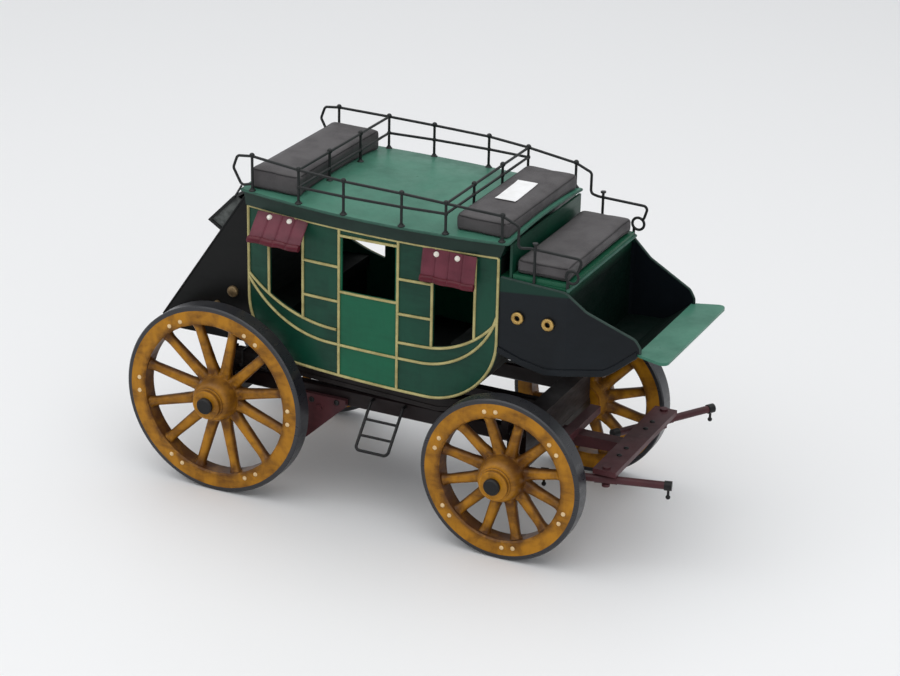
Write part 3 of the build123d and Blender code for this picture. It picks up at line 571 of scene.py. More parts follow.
def grain_group() -> bpy.types.NodeTree:
    """Imitation leather: rounded cells of two sizes with creases between them.

    Returns:
        The group, with Tone and Height out.
    """
    tree, g, into, out = new_group(
        Effect.GRAIN, {"Cells": 900.0, "Crease": 0.5},
        {"Tone": VALUE_SOCKET, "Height": VALUE_SOCKET})
    warp = g.node("ShaderNodeVectorMath", operation="ADD")
    g.feed(warp.inputs[0], g.place())
    wobble = g.node("ShaderNodeTexNoise")
    wobble.inputs["Scale"].default_value = 300.0
    g.feed(wobble.inputs["Vector"], g.place())
    small = g.node("ShaderNodeVectorMath", operation="SCALE")
    g.feed(small.inputs[0], wobble.outputs["Color"])
    small.inputs["Scale"].default_value = 0.0008
    g.feed(warp.inputs[1], small.outputs[0])
    cells = g.node("ShaderNodeTexVoronoi", feature="DISTANCE_TO_EDGE")
    g.feed(cells.inputs["Vector"], warp.outputs[0])
    g.feed(cells.inputs["Scale"], into["Cells"])
    crease = g.band(cells.outputs["Distance"], 0.0, 0.16)
    rub = g.noise(60.0, detail=5.0)
    g.feed(out["Height"], g.math("ADD", g.times(crease, into["Crease"]), g.times(rub, 0.4)))
    g.feed(out["Tone"], g.times(g.band(rub, 0.35, 0.7), g.band(crease, 0.0, 1.0, 0.6, 1.0)))
    return tree


def dust_group() -> bpy.types.NodeTree:
    """Pale dust that settles on faces turned upwards and thins out in patches.

    Returns:
        The group, with Color out.
    """
    tree, g, into, out = new_group(
        Effect.DUST, {"Color": (0.5, 0.5, 0.5), "Dust": (0.42, 0.41, 0.38), "Amount": 0.2},
        {"Color": COLOUR_SOCKET})
    up = g.band(g.facing("Z"), 0.2, 0.95)
    patch = g.band(g.noise(70.0, detail=6.0, rough=0.6), 0.35, 0.75, 0.35, 1.0)
    share = g.times(g.times(up, patch), into["Amount"])
    g.feed(out["Color"], g.mix(share, into["Color"], into["Dust"]))
    return tree


GROUPS: dict[Effect, bpy.types.NodeTree] = {}


def effect_node(graph: Graph, effect: Effect, **values: object) -> bpy.types.Node:
    """Place a shared group in a material with its own values.

    Args:
        graph: The material's graph.
        effect: Which group.
        **values: Input values by socket name.

    Returns:
        The group node.
    """
    makers = {Effect.PAINT: paint_group, Effect.GRAIN: grain_group, Effect.DUST: dust_group}
    if effect not in GROUPS:
        GROUPS[effect] = makers[effect]()
    made = graph.node("ShaderNodeGroup", node_tree=GROUPS[effect])
    for name, value in values.items():
        graph.feed(made.inputs[name], value)
    return made


def srgb(red: int, green: int, blue: int) -> Colour:
    """A display colour as linear light, c = ((s + 0.055) / 1.055) ^ 2.4 above the toe.

    Args:
        red: Red, 0 to 255.
        green: Green.
        blue: Blue.

    Returns:
        The three channels, 0 to 1.
    """
    def linear(value: int) -> float:
        """One channel."""
        s = value / 255
        return s / 12.92 if s <= 0.04045 else ((s + 0.055) / 1.055) ** 2.4
    return linear(red), linear(green), linear(blue)


COAT_ROUGHNESS = 0.25
BUMP_DEPTH = 0.0002  # metres


@dataclass(frozen=True)
class Finish:
    """A painted-metal finish, and the base of the others."""

    name: str
    slot: str
    coat: Colour
    shade: Colour
    bare: Colour = srgb(96, 88, 80)
    cloud: float = 40.0
    shading: float = 0.5
    chips: float = 0.12
    gloss: float = 0.4
    bump: float = 0.35
    metallic: float = 0.0
    varnish: float = 0.04
    specular: float = 0.22
    dust: float = 0.04
    made: dict[str, bpy.types.Material] = field(default_factory=dict, compare=False)

    @property
    def material(self) -> bpy.types.Material:
        """The material, built at first use."""
        if self.name not in self.made:
            self.made[self.name] = self.build()
        return self.made[self.name]

    def build(self) -> bpy.types.Material:
        """Make the node tree: colour pattern, dust, roughness and bump into one Principled BSDF.

        Returns:
            The material.
        """
        material = bpy.data.materials.new(self.name)
        material.use_nodes = True
        material.diffuse_color = (*self.coat, 1.0)
        g = Graph(material.node_tree)
        shader = material.node_tree.nodes["Principled BSDF"]
        colour, rough, height = self.pattern(g)
        dusty = effect_node(g, Effect.DUST, Color=colour, Amount=self.dust)
        g.feed(shader.inputs["Base Color"], dusty.outputs["Color"])
        g.feed(shader.inputs["Roughness"], rough)
        shader.inputs["Metallic"].default_value = self.metallic
        shader.inputs["Specular IOR Level"].default_value = self.specular
        shader.inputs["Coat Weight"].default_value = self.varnish
        shader.inputs["Coat Roughness"].default_value = COAT_ROUGHNESS
        bump = g.node("ShaderNodeBump")
        bump.inputs["Strength"].default_value = self.bump
        bump.inputs["Distance"].default_value = BUMP_DEPTH
        g.feed(bump.inputs["Height"], height)
        g.feed(shader.inputs["Normal"], bump.outputs["Normal"])
        return material

    def pattern(self, g: Graph) -> Look:
        """Plain brushed paint.

        Args:
            g: The material's graph.

        Returns:
            Colour, roughness and height of the surface.
        """
        paint = effect_node(g, Effect.PAINT, Coat=self.coat, Shade=self.shade, Bare=self.bare,
                            Cloud=self.cloud, Shading=self.shading, Chips=self.chips,
                            Gloss=self.gloss)
        return paint.outputs["Color"], paint.outputs["Roughness"], paint.outputs["Height"]

    def dress(self, *nodes: str) -> None:
        """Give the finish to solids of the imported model."""
        for node in nodes:
            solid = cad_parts[node]
            solid.data.materials.clear()
            solid.data.materials.append(self.material)


@dataclass(frozen=True)
class WheelFinish(Finish):
    """Ochre with brown painted shade round the nave, in corners and on faces along the wheel."""

    centre: Point = (0.0, 0.0, 0.0)
    nave_r: float = 13.0
    felloe_r: float = 44.0
    flank_shade: float = 0.92

    def pattern(self, g: Graph) -> Look:
        """Brushed paint with brown painted shade where r = sqrt(x^2 + z^2) nears the nave or the
        felloe's inside, and on faces along the wheel.

        Args:
            g: The material's graph.

        Returns:
            Colour, roughness and height of the surface.
        """
        base = super().pattern(g)
        local = g.place(location=tuple(-c for c in self.centre))
        x, z = g.axis(local, "X"), g.axis(local, "Z")
        r = g.math("SQRT", g.math("ADD", g.times(x, x), g.times(z, z)))
        nave, rim = self.nave_r * MM, self.felloe_r * MM
        # painted shade: brown rings at the spokes' roots by the nave and at the felloe's inner
        # edge, in patches
        nave_shade = g.times(g.band(r, nave * 0.7, nave * 1.05),
                          g.band(r, nave * 1.15, nave * 1.7, 1.0, 0.0))
        rim_shade = g.times(g.band(r, rim - 0.007, rim - 0.001),
                         g.band(r, rim - 0.0005, rim + 0.004, 1.0, 0.0))
        patch = g.band(g.noise(150.0, detail=6.0, rough=0.65), 0.3, 0.62)
        where = g.times(g.math("MAXIMUM", nave_shade, rim_shade), patch)
        # painted shade: brown on faces whose normal lies near the wheel's plane, the sides of
        # spokes and felloe
        facing = g.math("ABSOLUTE", g.facing("Y"))
        flank_shade = g.times(g.band(facing, 0.25, 0.95, 1.0, 0.0), g.band(patch, 0.0, 1.0, 0.7, 1.0))
        flank_shade = g.times(flank_shade, g.band(r, nave, nave * 1.2, 0.6, 1.0))
        where = g.math("MAXIMUM", g.times(where, 0.85), g.times(flank_shade, self.flank_shade))
        return g.mix(where, base[0], self.shade), base[1], base[2]


@dataclass(frozen=True)
class LeatherFinish(Finish):
    """Grained imitation leather."""

    cells: float = 900.0

    def pattern(self, g: Graph) -> Look:
        """Two tones rubbed together over the grain.

        Args:
            g: The material's graph.

        Returns:
            Colour, roughness and height of the surface.
        """
        grain = effect_node(g, Effect.GRAIN, Cells=self.cells, Crease=0.5)
        colour = g.mix(g.times(grain.outputs["Tone"], self.shading), self.coat, self.shade)
        rough = g.band(grain.outputs["Tone"], 0.0, 1.0, self.gloss, self.gloss + 0.18)
        return colour, rough, grain.outputs["Height"]


@dataclass(frozen=True)
class HoodFinish(Finish):
    """Dark edges round grey cheeks, the grey painted light in patches on their side faces: the
    cheeks lie inside |y| = cheek_y.
    """

    cheek_y: float = 41.2
    cheek_light: Colour = srgb(92, 96, 94)

    def pattern(self, g: Graph) -> Look:
        """Brushed paint, mixed towards a lighter grey in patches on faces turned along y inside the
        limit, as painted light.

        Args:
            g: The material's graph.

        Returns:
            Colour, roughness and height of the surface.
        """
        base = super().pattern(g)
        across = g.math("ABSOLUTE", g.axis(g.place(), "Y"))
        # painted light: side faces inside the limit turn grey in patches
        inside = g.band(across, (self.cheek_y - 0.1) * MM, self.cheek_y * MM, 1.0, 0.0)
        inside = g.times(inside, g.band(g.math("ABSOLUTE", g.facing("Y")), 0.4, 0.6))
        patch = g.band(g.noise(260.0, detail=6.0, rough=0.6), 0.3, 0.6, 0.35, 1.0)
        return g.mix(g.times(inside, patch), base[0], self.cheek_light), base[1], base[2]


@dataclass(frozen=True)
class BandFinish(Finish):
    """Two paints parted by the sloping line z = foot + rise x: the upper one is a dark green. On
    the boot's ledge the two are painted light instead: a painted-shade coat under a
    painted-highlight band.
    """

    upper: Colour = srgb(18, 52, 42)
    foot: float = 126.1
    rise: float = 0.109
    soft: float = 0.6

    def pattern(self, g: Graph) -> Look:
        """Brushed paint, with the upper colour above the line.

        Args:
            g: The material's graph.

        Returns:
            Colour, roughness and height of the surface.
        """
        base = super().pattern(g)
        at = g.place(location=(-CHASSIS.shift * MM, 0.0, -self.foot * MM))
        over = g.math("SUBTRACT", g.axis(at, "Z"), g.times(g.axis(at, "X"), self.rise))
        above = g.band(over, -self.soft * MM, self.soft * MM)
        return g.mix(above, base[0], self.upper), base[1], base[2]


OCHRE, BROWN = srgb(174, 118, 20), srgb(66, 32, 6)
METAL = srgb(84, 80, 76)
GREEN = Finish("coach_green", "coach_green", srgb(16, 68, 51), srgb(8, 40, 31), shading=0.7,
               cloud=22.0, gloss=0.36, chips=0.03)
DOOR = Finish("door_green", "door_green", srgb(16, 94, 66), srgb(10, 64, 46), shading=0.5,
              cloud=18.0, gloss=0.34, chips=0.03)
SHADOW_GREEN = Finish("shadow_green", "coach_green", srgb(22, 46, 38), srgb(12, 28, 24),
                      shading=0.5, gloss=0.4, chips=0.04)
SLATE = BandFinish("boot_slate", "coach_green", srgb(19, 24, 29), srgb(10, 13, 16), shading=0.5,
                   cloud=26.0, gloss=0.34, chips=0.04,
                   specular=0.16)
# painted shade and highlight: the near-black coat is the shade inside the boot, and the green at z
# = 148, fading over 5 mm either way, a painted highlight on the ledge's top
LEDGE_SHADE_AND_HIGHLIGHT = BandFinish("ledge_shade_and_highlight", "coach_green", srgb(5, 24, 18), srgb(3, 14, 10), shading=0.5,
                   gloss=0.4, chips=0.0, dust=0.0,
                   upper=srgb(26, 84, 60), foot=148.0, rise=0.0, soft=5.0)
SEAT_BACK = Finish("seat_back_green", "coach_green", srgb(14, 60, 44), srgb(8, 38, 30),
                   shading=0.5, gloss=0.36, chips=0.0)
# painted highlight: the pale green of the boot's top-edge beads stands for the highlight along
# those edges
TRIM_HIGHLIGHT = Finish("boot_trim", "pale_green", srgb(48, 66, 60), srgb(26, 38, 36), cloud=120.0,
              gloss=0.4, chips=0.05, dust=0.0)
KEEL = Finish("keel_slate", "black_metal", srgb(26, 32, 34), srgb(14, 17, 19), gloss=0.36,
              chips=0.08)
# painted shade: a darker copy of the blind's red for the roll at its foot, for the shade on the
# roll
SHADED_ROLL = Finish("blind_roll", "blind_red", srgb(92, 24, 38), srgb(52, 12, 22), cloud=90.0,
              gloss=0.36, chips=0.04)
# painted shade: the boot's floor is near-black for the shade inside the boot
WELL_SHADE = Finish("well_shade_green", "coach_green", srgb(4, 20, 15), srgb(2, 10, 8), shading=0.5, gloss=0.5,
              chips=0.0, dust=0.0)
# painted shade: end walls, floor pan and benches are near-black for the shade inside the cabin
CABIN_SHADE = Finish("cabin_shade", "coach_green", srgb(10, 18, 15), srgb(5, 9, 8), shading=0.5, gloss=0.6,
              chips=0.0, varnish=0.0, dust=0.0)
# paler green of the roof deck and footboard: partly their own paint and partly painted light for
# the overhead light on these tops
DECK = Finish("deck_green", "pale_green", srgb(68, 124, 104), srgb(42, 90, 74), shading=0.6,
              cloud=26.0, gloss=0.34, chips=0.06)
# paler green of the beads: on the seat ledge's bead it is a painted highlight along the ledge's top
# edge; the deck's bead takes the same finish
EDGE = Finish("edge_green", "pale_green", srgb(52, 92, 78), srgb(28, 56, 48), cloud=120.0,
              gloss=0.4, chips=0.05, dust=0.0)
BLACK = Finish("black_metal", "black_metal", srgb(24, 24, 25), srgb(12, 12, 13), bare=METAL,
               gloss=0.36, chips=0.1)
RAIL = Finish("rail_wire", "black_metal", srgb(30, 33, 33), srgb(16, 18, 18), bare=METAL,
              cloud=160.0, gloss=0.34, chips=0.12)
HOOD = HoodFinish("hood", "black_metal", srgb(22, 24, 24), srgb(11, 12, 13), bare=METAL, gloss=0.42)
REAR = Finish("rear_tin", "black_metal", srgb(16, 17, 17), srgb(9, 10, 11), cloud=24.0, gloss=0.4,
              chips=0.04, specular=0.16)
TYRE = Finish("tyre_iron", "black_metal", srgb(34, 35, 40), srgb(17, 17, 20), bare=srgb(110, 112,
              120), gloss=0.3, chips=0.12, specular=0.5)
WIRE = Finish("cream_wire", "cream_wire", srgb(182, 172, 118), srgb(116, 102, 58), cloud=160.0,
              gloss=0.42, chips=0.1, dust=0.0)
BURGUNDY = Finish("burgundy", "burgundy", srgb(78, 42, 46), srgb(38, 20, 24), gloss=0.4, chips=0.08)
# painted shade: a near-black copy of the burgundy for the bolsters and perches under the body, for
# the shade there
UNDER_SHADE = Finish("under_burgundy_shade", "burgundy", srgb(26, 15, 16), srgb(13, 8, 9), gloss=0.45,
               chips=0.05, dust=0.0)
BLIND = Finish("blind_red", "blind_red", srgb(106, 50, 62), srgb(66, 26, 36), cloud=70.0,
               gloss=0.42, chips=0.06)
STRAP = LeatherFinish("strap_leather", "strap", srgb(24, 18, 17), srgb(10, 8, 8), cells=700.0,
                      gloss=0.5, dust=0.0)
PAD = LeatherFinish("seat_leather", "seat_grey", srgb(80, 77, 78), srgb(58, 55, 57), cells=1000.0,
                    gloss=0.46, shading=0.6)
PIPING = LeatherFinish("seat_piping", "seat_grey", srgb(48, 46, 47), srgb(30, 28, 29),
                       cells=1400.0, gloss=0.5)
BRASS = Finish("brass", "brass", srgb(190, 156, 92), srgb(112, 84, 40), metallic=0.75, gloss=0.3,
               chips=0.0, cloud=300.0)
OLD_BRASS = Finish("old_brass", "brass", srgb(124, 104, 74), srgb(64, 50, 32), metallic=0.6,
                   gloss=0.36, chips=0.0, cloud=260.0)
STUD = Finish("white_stud", "cream_wire", srgb(238, 234, 224), srgb(196, 188, 170), cloud=300.0,
              gloss=0.28, chips=0.0)
RIVET = Finish("pale_rivet", "cream_wire", srgb(228, 202, 156), srgb(160, 114, 58), cloud=420.0,
               gloss=0.3, chips=0.0)
PAPER = Finish("label_paper", "cream_wire", srgb(238, 238, 238), srgb(220, 220, 218), cloud=120.0,
               gloss=0.55, chips=0.0, varnish=0.0, dust=0.0)


# ------------------------------------------------------------------ the coach's sub-assemblies
@dataclass
class Wheel:
    """One wheel: painted wood and nave, iron tyre, felloe rivets and turned beads."""

    place: str
    side: Side
    radius: float
    x: float
    rivet_r: float
    first_pair: float
    tyre_and_felloe: float = 11.0
    pairs: int = 6
    pair_half: float = 4.8
    rivet: tuple[float, float, float] = (1.25, 0.8, 0.3)
    spokes: int = 12
    nave_r: float = 13.0
    foot_in: float = 8.75
    tip_in: float = 5.25
    bulb_x: tuple[float, float] = (-5.3, 9.5)
    bulb_r: tuple[float, float] = (8.5, 4.5)
    bulb_bore: tuple[float, float] = (9.5, 7.6)
    # distance outside the wheel's face, radius and half width of each turned ring
    rings: tuple[Point, ...] = ((4.4, 8.5, 0.8), (6.9, 8.0, 0.6), (-5.3, 12.9, 0.6),
                                (-1.0, 12.3, 0.35), (-12.5, 12.7, 0.7))
    # distance along the spoke and radius of its collars
    foot_flare: Line = ((-1.6, 4.6), (-0.2, 4.3), (1.2, 3.75), (3.0, 3.45), (5.0, 3.3), (5.0, 2.6))
    tip_flare: Line = ((-4.4, 2.2), (-4.4, 2.75), (-2.4, 2.85), (-0.8, 3.2), (0.3, 3.7))

    @property
    def body(self) -> str:
        """Name of the wheel's body."""
        return f"wheel_{self.place}_{self.side.word}"

    @property
    def paint(self) -> WheelFinish:
        """Ochre with its brown painted-shade rings centred on this wheel."""
        centre = ((self.x + CHASSIS.shift) * MM, 0.0, self.radius * MM)
        return WheelFinish(f"ochre_{self.place}_{self.side.word}", "ochre", OCHRE, BROWN,
                           shading=0.72, cloud=90.0, gloss=0.38, chips=0.06, dust=0.05,
                           centre=centre, felloe_r=self.radius - self.tyre_and_felloe)

    def dress(self) -> None:
        """Paint the solids and add the small pieces."""
        paint = self.paint
        paint.dress(self.body, self.body.replace("wheel", "nave"))
        TYRE.dress(self.body.replace("wheel", "tyre"))
        self.rivets()
        self.beads(paint)

    def rivets(self) -> None:
        """Pairs of pale rivets on the felloe's face, at angles 360 k / pairs +- half a pair."""
        s = self.side.value
        heads = Surface()
        for k in range(self.pairs):
            for half in (-self.pair_half, self.pair_half):
                a = math.radians(self.first_pair - 360 / self.pairs * k + half)
                c = (self.x + self.rivet_r * math.cos(a), s * CHASSIS.face_y,
                     self.radius + self.rivet_r * math.sin(a))
                heads.add(*lathe(dome(*self.rivet), c, (0, s, 0), 16))
        heads.build(f"felloe_rivets_{self.place}_{self.side.word}", self.body, RIVET)

    def beads(self, paint: Finish) -> None:
        """Bulb and rings on the nave and a rounded collar at the foot and tip of every spoke.

        The bulb is a quarter ellipse, a = a0 + A sin q, r = r0 + R cos q.

        Args:
            paint: The wheel's own finish.
        """
        s, y0 = self.side.value, CHASSIS.face_y
        rings = Surface()
        t = np.linspace(0, np.pi, 7)
        q = np.linspace(0, np.pi / 2, 12)
        (back, reach), (neck, bulge) = self.bulb_x, self.bulb_r
        bulb = np.stack([back + reach * np.sin(q), neck + bulge * np.cos(q)], 1)
        first, last = [back, self.bulb_bore[0]], [back + reach, self.bulb_bore[1]]
        bulb = np.concatenate([[first], bulb, [last, first]])
        rings.add(*lathe(bulb, (self.x, s * y0, self.radius), (0, s, 0), 56))
        for along, r, half in self.rings:
            profile = np.stack([-half * np.cos(t), r - 0.2 + half * np.sin(t)], 1)
            back, front = [-half, r - 1.2], [half, r - 1.2]
            profile = np.concatenate([[back], profile, [front, back]])
            rings.add(*lathe(profile, (self.x, s * (y0 + along), self.radius), (0, s, 0), 56))
        hub = np.array([self.x, 0.0, self.radius])
        foot_y, tip_y = y0 - self.foot_in, y0 - self.tip_in
        rim_in = self.radius - self.tyre_and_felloe
        for k in range(self.spokes):
            a = 2 * math.pi * (k + 0.5) / self.spokes
            foot = np.array([self.nave_r * math.cos(a), s * foot_y, self.nave_r * math.sin(a)])
            tip = np.array([rim_in * math.cos(a), s * tip_y, rim_in * math.sin(a)])
            along = (tip - foot) / np.linalg.norm(tip - foot)
            rings.add(*lathe(self.foot_flare, tuple(hub + foot), tuple(along), 18))
            rings.add(*lathe(self.tip_flare, tuple(hub + tip), tuple(along), 18))
        rings.build(f"wheel_beads_{self.place}_{self.side.word}", self.body, paint)


@dataclass
class BodySide:
    """Cream wires, blinds and studs of one side of the cabin."""

    side: Side
    wire_r: float = 0.78
    door_x: tuple[float, float] = (71.0, 106.0)
    keel: tuple[float, float] = (80.0, 77.0)
    corner_r: tuple[float, float] = (33.5, 37.0)
    window_top: float = 159.5
    door_sill: float = 128.4
    jambs: tuple[float, ...] = (26.2, 48.4, 125.6, 149.2)
    rails: tuple[float, ...] = (122.4, 142.2)
    keel_in: tuple[float, float] = (33.0, 37.0)
    inset: float = 0.6
    belts: dict[str, tuple[tuple[float, float, float], ...]] = field(default_factory=lambda: {
        "lower": ((97.6, 66.0, 66.0), (96.6, 120.0, 42.4)),
        "upper": ((106.0, 69.0, 86.0), (106.0, 122.0, 48.5))})

    def belt_z(self, name: str, x: Array) -> Array:
        """Height of a belt: straight between its knees, z0 + r - sqrt(r^2 - d^2) beyond them.

        Args:
            name: Which belt.
            x: Stations along the coach.

        Returns:
            The height at each station.
        """
        (z0, x0, r0), (z1, x1, r1) = self.belts[name]
        x = np.asarray(x, float)
        back, fore = np.clip(x0 - x, 0, r0), np.clip(x - x1, 0, r1)
        level = z0 + (z1 - z0) * np.clip((x - x0) / (x1 - x0), 0, 1)
        return level + r0 - np.sqrt(r0 ** 2 - back ** 2) + r1 - np.sqrt(r1 ** 2 - fore ** 2)

    def outline(self) -> Array:
        """The side panel's edge: straight head and ends, quarter circles at the lower corners.

        Returns:
            Rows of x and z, closed.
        """
        inset = self.inset
        x0, x1 = CHASSIS.body_x0 + inset, CHASSIS.body_x1 - inset
        (k0, k1), (r0, r1) = self.keel, self.corner_r
        t = np.linspace(0, np.pi / 2, 24)
        rear = np.stack([x0 + r0 * (1 - np.cos(t)), k0 + inset + r0 * (1 - np.sin(t))], 1)
        fore = np.stack([x1 - r1 * (1 - np.sin(t)), k1 + inset + r1 * (1 - np.cos(t))], 1)
        heads = np.array([x0, x1])
        top = np.stack([heads, CHASSIS.head_z(heads) - inset], 1)
        return np.concatenate([top[:1], rear, fore, top[1:], top[:1]])

    def lift(self, flat: Array, step: float = 1.5) -> Array:
        """Wrap a line drawn in x and z on to the bowed side: y = s (bow(x) + r / 2).

        Args:
            flat: Rows of x and z.
            step: Largest distance between the new points.

        Returns:
            Rows of x, y and z.
        """
        line = spread(flat, step)
        y = self.side.value * (CHASSIS.bow_y(line[:, 0]) + 0.5 * self.wire_r)
        return np.stack([line[:, 0], y, line[:, 1]], 1)

    def wires(self) -> bpy.types.Object:
        """Every cream wire of the side, soldered where it meets another.

        Returns:
            The piece, which replaces the side's mouldings.
        """
        d0, d1 = self.door_x
        xs = np.linspace(CHASSIS.body_x0 + 0.8, CHASSIS.body_x1 - 0.8, 90)
        lines = [self.outline(), np.stack([xs, self.belt_z("lower", xs)], 1)]
        for part in (xs[xs <= d0], xs[xs >= d1]):
            lines.append(np.stack([part, self.belt_z("upper", part)], 1))
        keel_x = [CHASSIS.body_x0 + self.keel_in[0], CHASSIS.body_x1 - self.keel_in[1]]
        foot = np.interp([d0, d1], keel_x, self.keel)
        for x, z in zip((d0, d1), foot):
            top = float(CHASSIS.head_z(x)) - self.inset
            lines.append(np.array([[x, z + self.inset], [x, top]]))
        for z in (self.window_top + 0.9, self.door_sill):
            lines.append(np.array([[d0, z], [d1, z]]))
        for x in self.jambs:
            sill = float(self.belt_z("upper", x))
            lines.append(np.array([[x, sill], [x, self.window_top + 1.0]]))
        for z in self.rails:
            lines += [np.array([[self.jambs[1], z], [d0, z]]),
                      np.array([[d1, z], [self.jambs[2], z]])]
        head = self.window_top + 0.7
        for a, b in ((0, 1), (2, 3)):
            lines.append(np.array([[self.jambs[a], head], [self.jambs[b], head]]))
        wires = Surface()
        for line in lines:
            wires.add(*tube(self.lift(line), self.wire_r, (0, 1, 0), 8))
        piece = wires.build(f"cream_wires_{self.side.word}", "coach", WIRE, 60)
        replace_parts(piece, f"mouldings_{self.side.word}")
        return piece


@dataclass
class Blinds:
    """Fluted roll-up blinds over the quarter windows, with two white studs each."""

    spans: tuple[Point, ...] = ((21.0, 52.0, 12.4), (120.0, 151.0, 3.4))
    height: float = 18.5
    drop: float = 0.9
    flutes: int = 4
    studs: tuple[float, float] = (0.27, 0.66)
    stud: tuple[float, float, float] = (1.6, 1.2, 0.4)

    def sections(self) -> tuple[Array, Array]:
        """Closed sections of the hanging face and of the roll at its foot.

        Returns:
            Rows of distance down and distance outwards, for each.
        """
        t = np.linspace(0, 1, 12)
        fall = self.height - 3.6
        front = np.stack([t * fall, 0.9 + 0.25 * np.sin(np.pi * t)], 1)
        face = np.concatenate([[[0.0, -0.1]], front, [[fall + 0.3, 0.3], [fall, -0.1]]])
        a = np.arange(16) * 2 * np.pi / 16
        roll = np.stack([self.height - 2.0 + 2.0 * np.cos(a), 0.5 + 1.75 * np.sin(a)], 1)
        return face, roll

    def sweep(self, section: Array, span: Point, side: Side, depth: float) -> Shape:
        """Sweep a section along the head: n(u) = n - depth (1 - |sin(pi f u)|)^4 where n > 0.

        Args:
            section: Closed rows of d and n.
            span: Start, end and outward stand of the blind's foot.
            side: Side of the coach.
            depth: Depth of the grooves between the flutes.

        Returns:
            Points and quads, closed at both ends.
        """
        head, across, down, out = self.axes(span, side)
        u = np.linspace(0, 1, 61)
        groove = (1 - np.abs(np.sin(np.pi * self.flutes * u))) ** 4
        n = section[None, :, 1] - depth * groove[:, None] * (section[None, :, 1] > 0)
        swell = 1 + 0.012 * np.sin(2 * np.pi * (2.5 * u + 0.2))[:, None]
        d = section[None, :, 0] * swell
        reach = (u - 0.5) * (span[1] - span[0])
        pts = head + reach[:, None, None] * across + d[..., None] * down + n[..., None] * out
        caps = [pts[k].mean(0)[None, None].repeat(len(section), 1) for k in (0, -1)]
        rows = np.concatenate([caps[0], pts, caps[1]])
        return rows.reshape(-1, 3), grid_faces(len(rows), len(section), wrap=True)

    def axes(self, span: Point, side: Side) -> tuple[Array, Array, Array, Array]:
        """Frame of a blind.

        Args:
            span: Start, end and outward stand of the blind's foot.
            side: Side of the coach.

        Returns:
            The middle of its head and the steps across, down and outwards.
        """
        x0, x1, stand = span
        s, mid = side.value, (x0 + x1) / 2
        lean = math.asin(stand / self.height)
        head = np.array([mid, s * (float(CHASSIS.bow_y(mid)) + 1.2),
                         float(CHASSIS.head_z(mid)) - self.drop])
        across = np.array([1.0, 0.0, -CHASSIS.slope])
        down = np.array([0.0, s * math.sin(lean), -math.cos(lean)])
        return head, across, down, np.array([0.0, s * math.cos(lean), math.sin(lean)])

    def build(self) -> None:
        """The hanging faces, the rolls at their feet and the studs."""
        cloth, rolls, buttons = Surface(), Surface(), Surface()
        face, roll = self.sections()
        for side in Side:
            for span in self.spans:
                cloth.add(*self.sweep(face, span, side, 0.7))
                rolls.add(*self.sweep(roll, span, side, 0.5))
                head, across, down, out = self.axes(span, side)
                for place in self.studs:
                    c = head + (place - 0.5) * (span[1] - span[0]) * across + 2.6 * down + 0.9 * out
                    buttons.add(*lathe(dome(*self.stud), tuple(c), tuple(out), 18))
        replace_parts(cloth.build("blinds_fluted", "coach", BLIND, 50), "blinds")
        rolls.build("blind_rolls", "coach", SHADED_ROLL, 50)
        buttons.build("blind_studs", "coach", STUD)


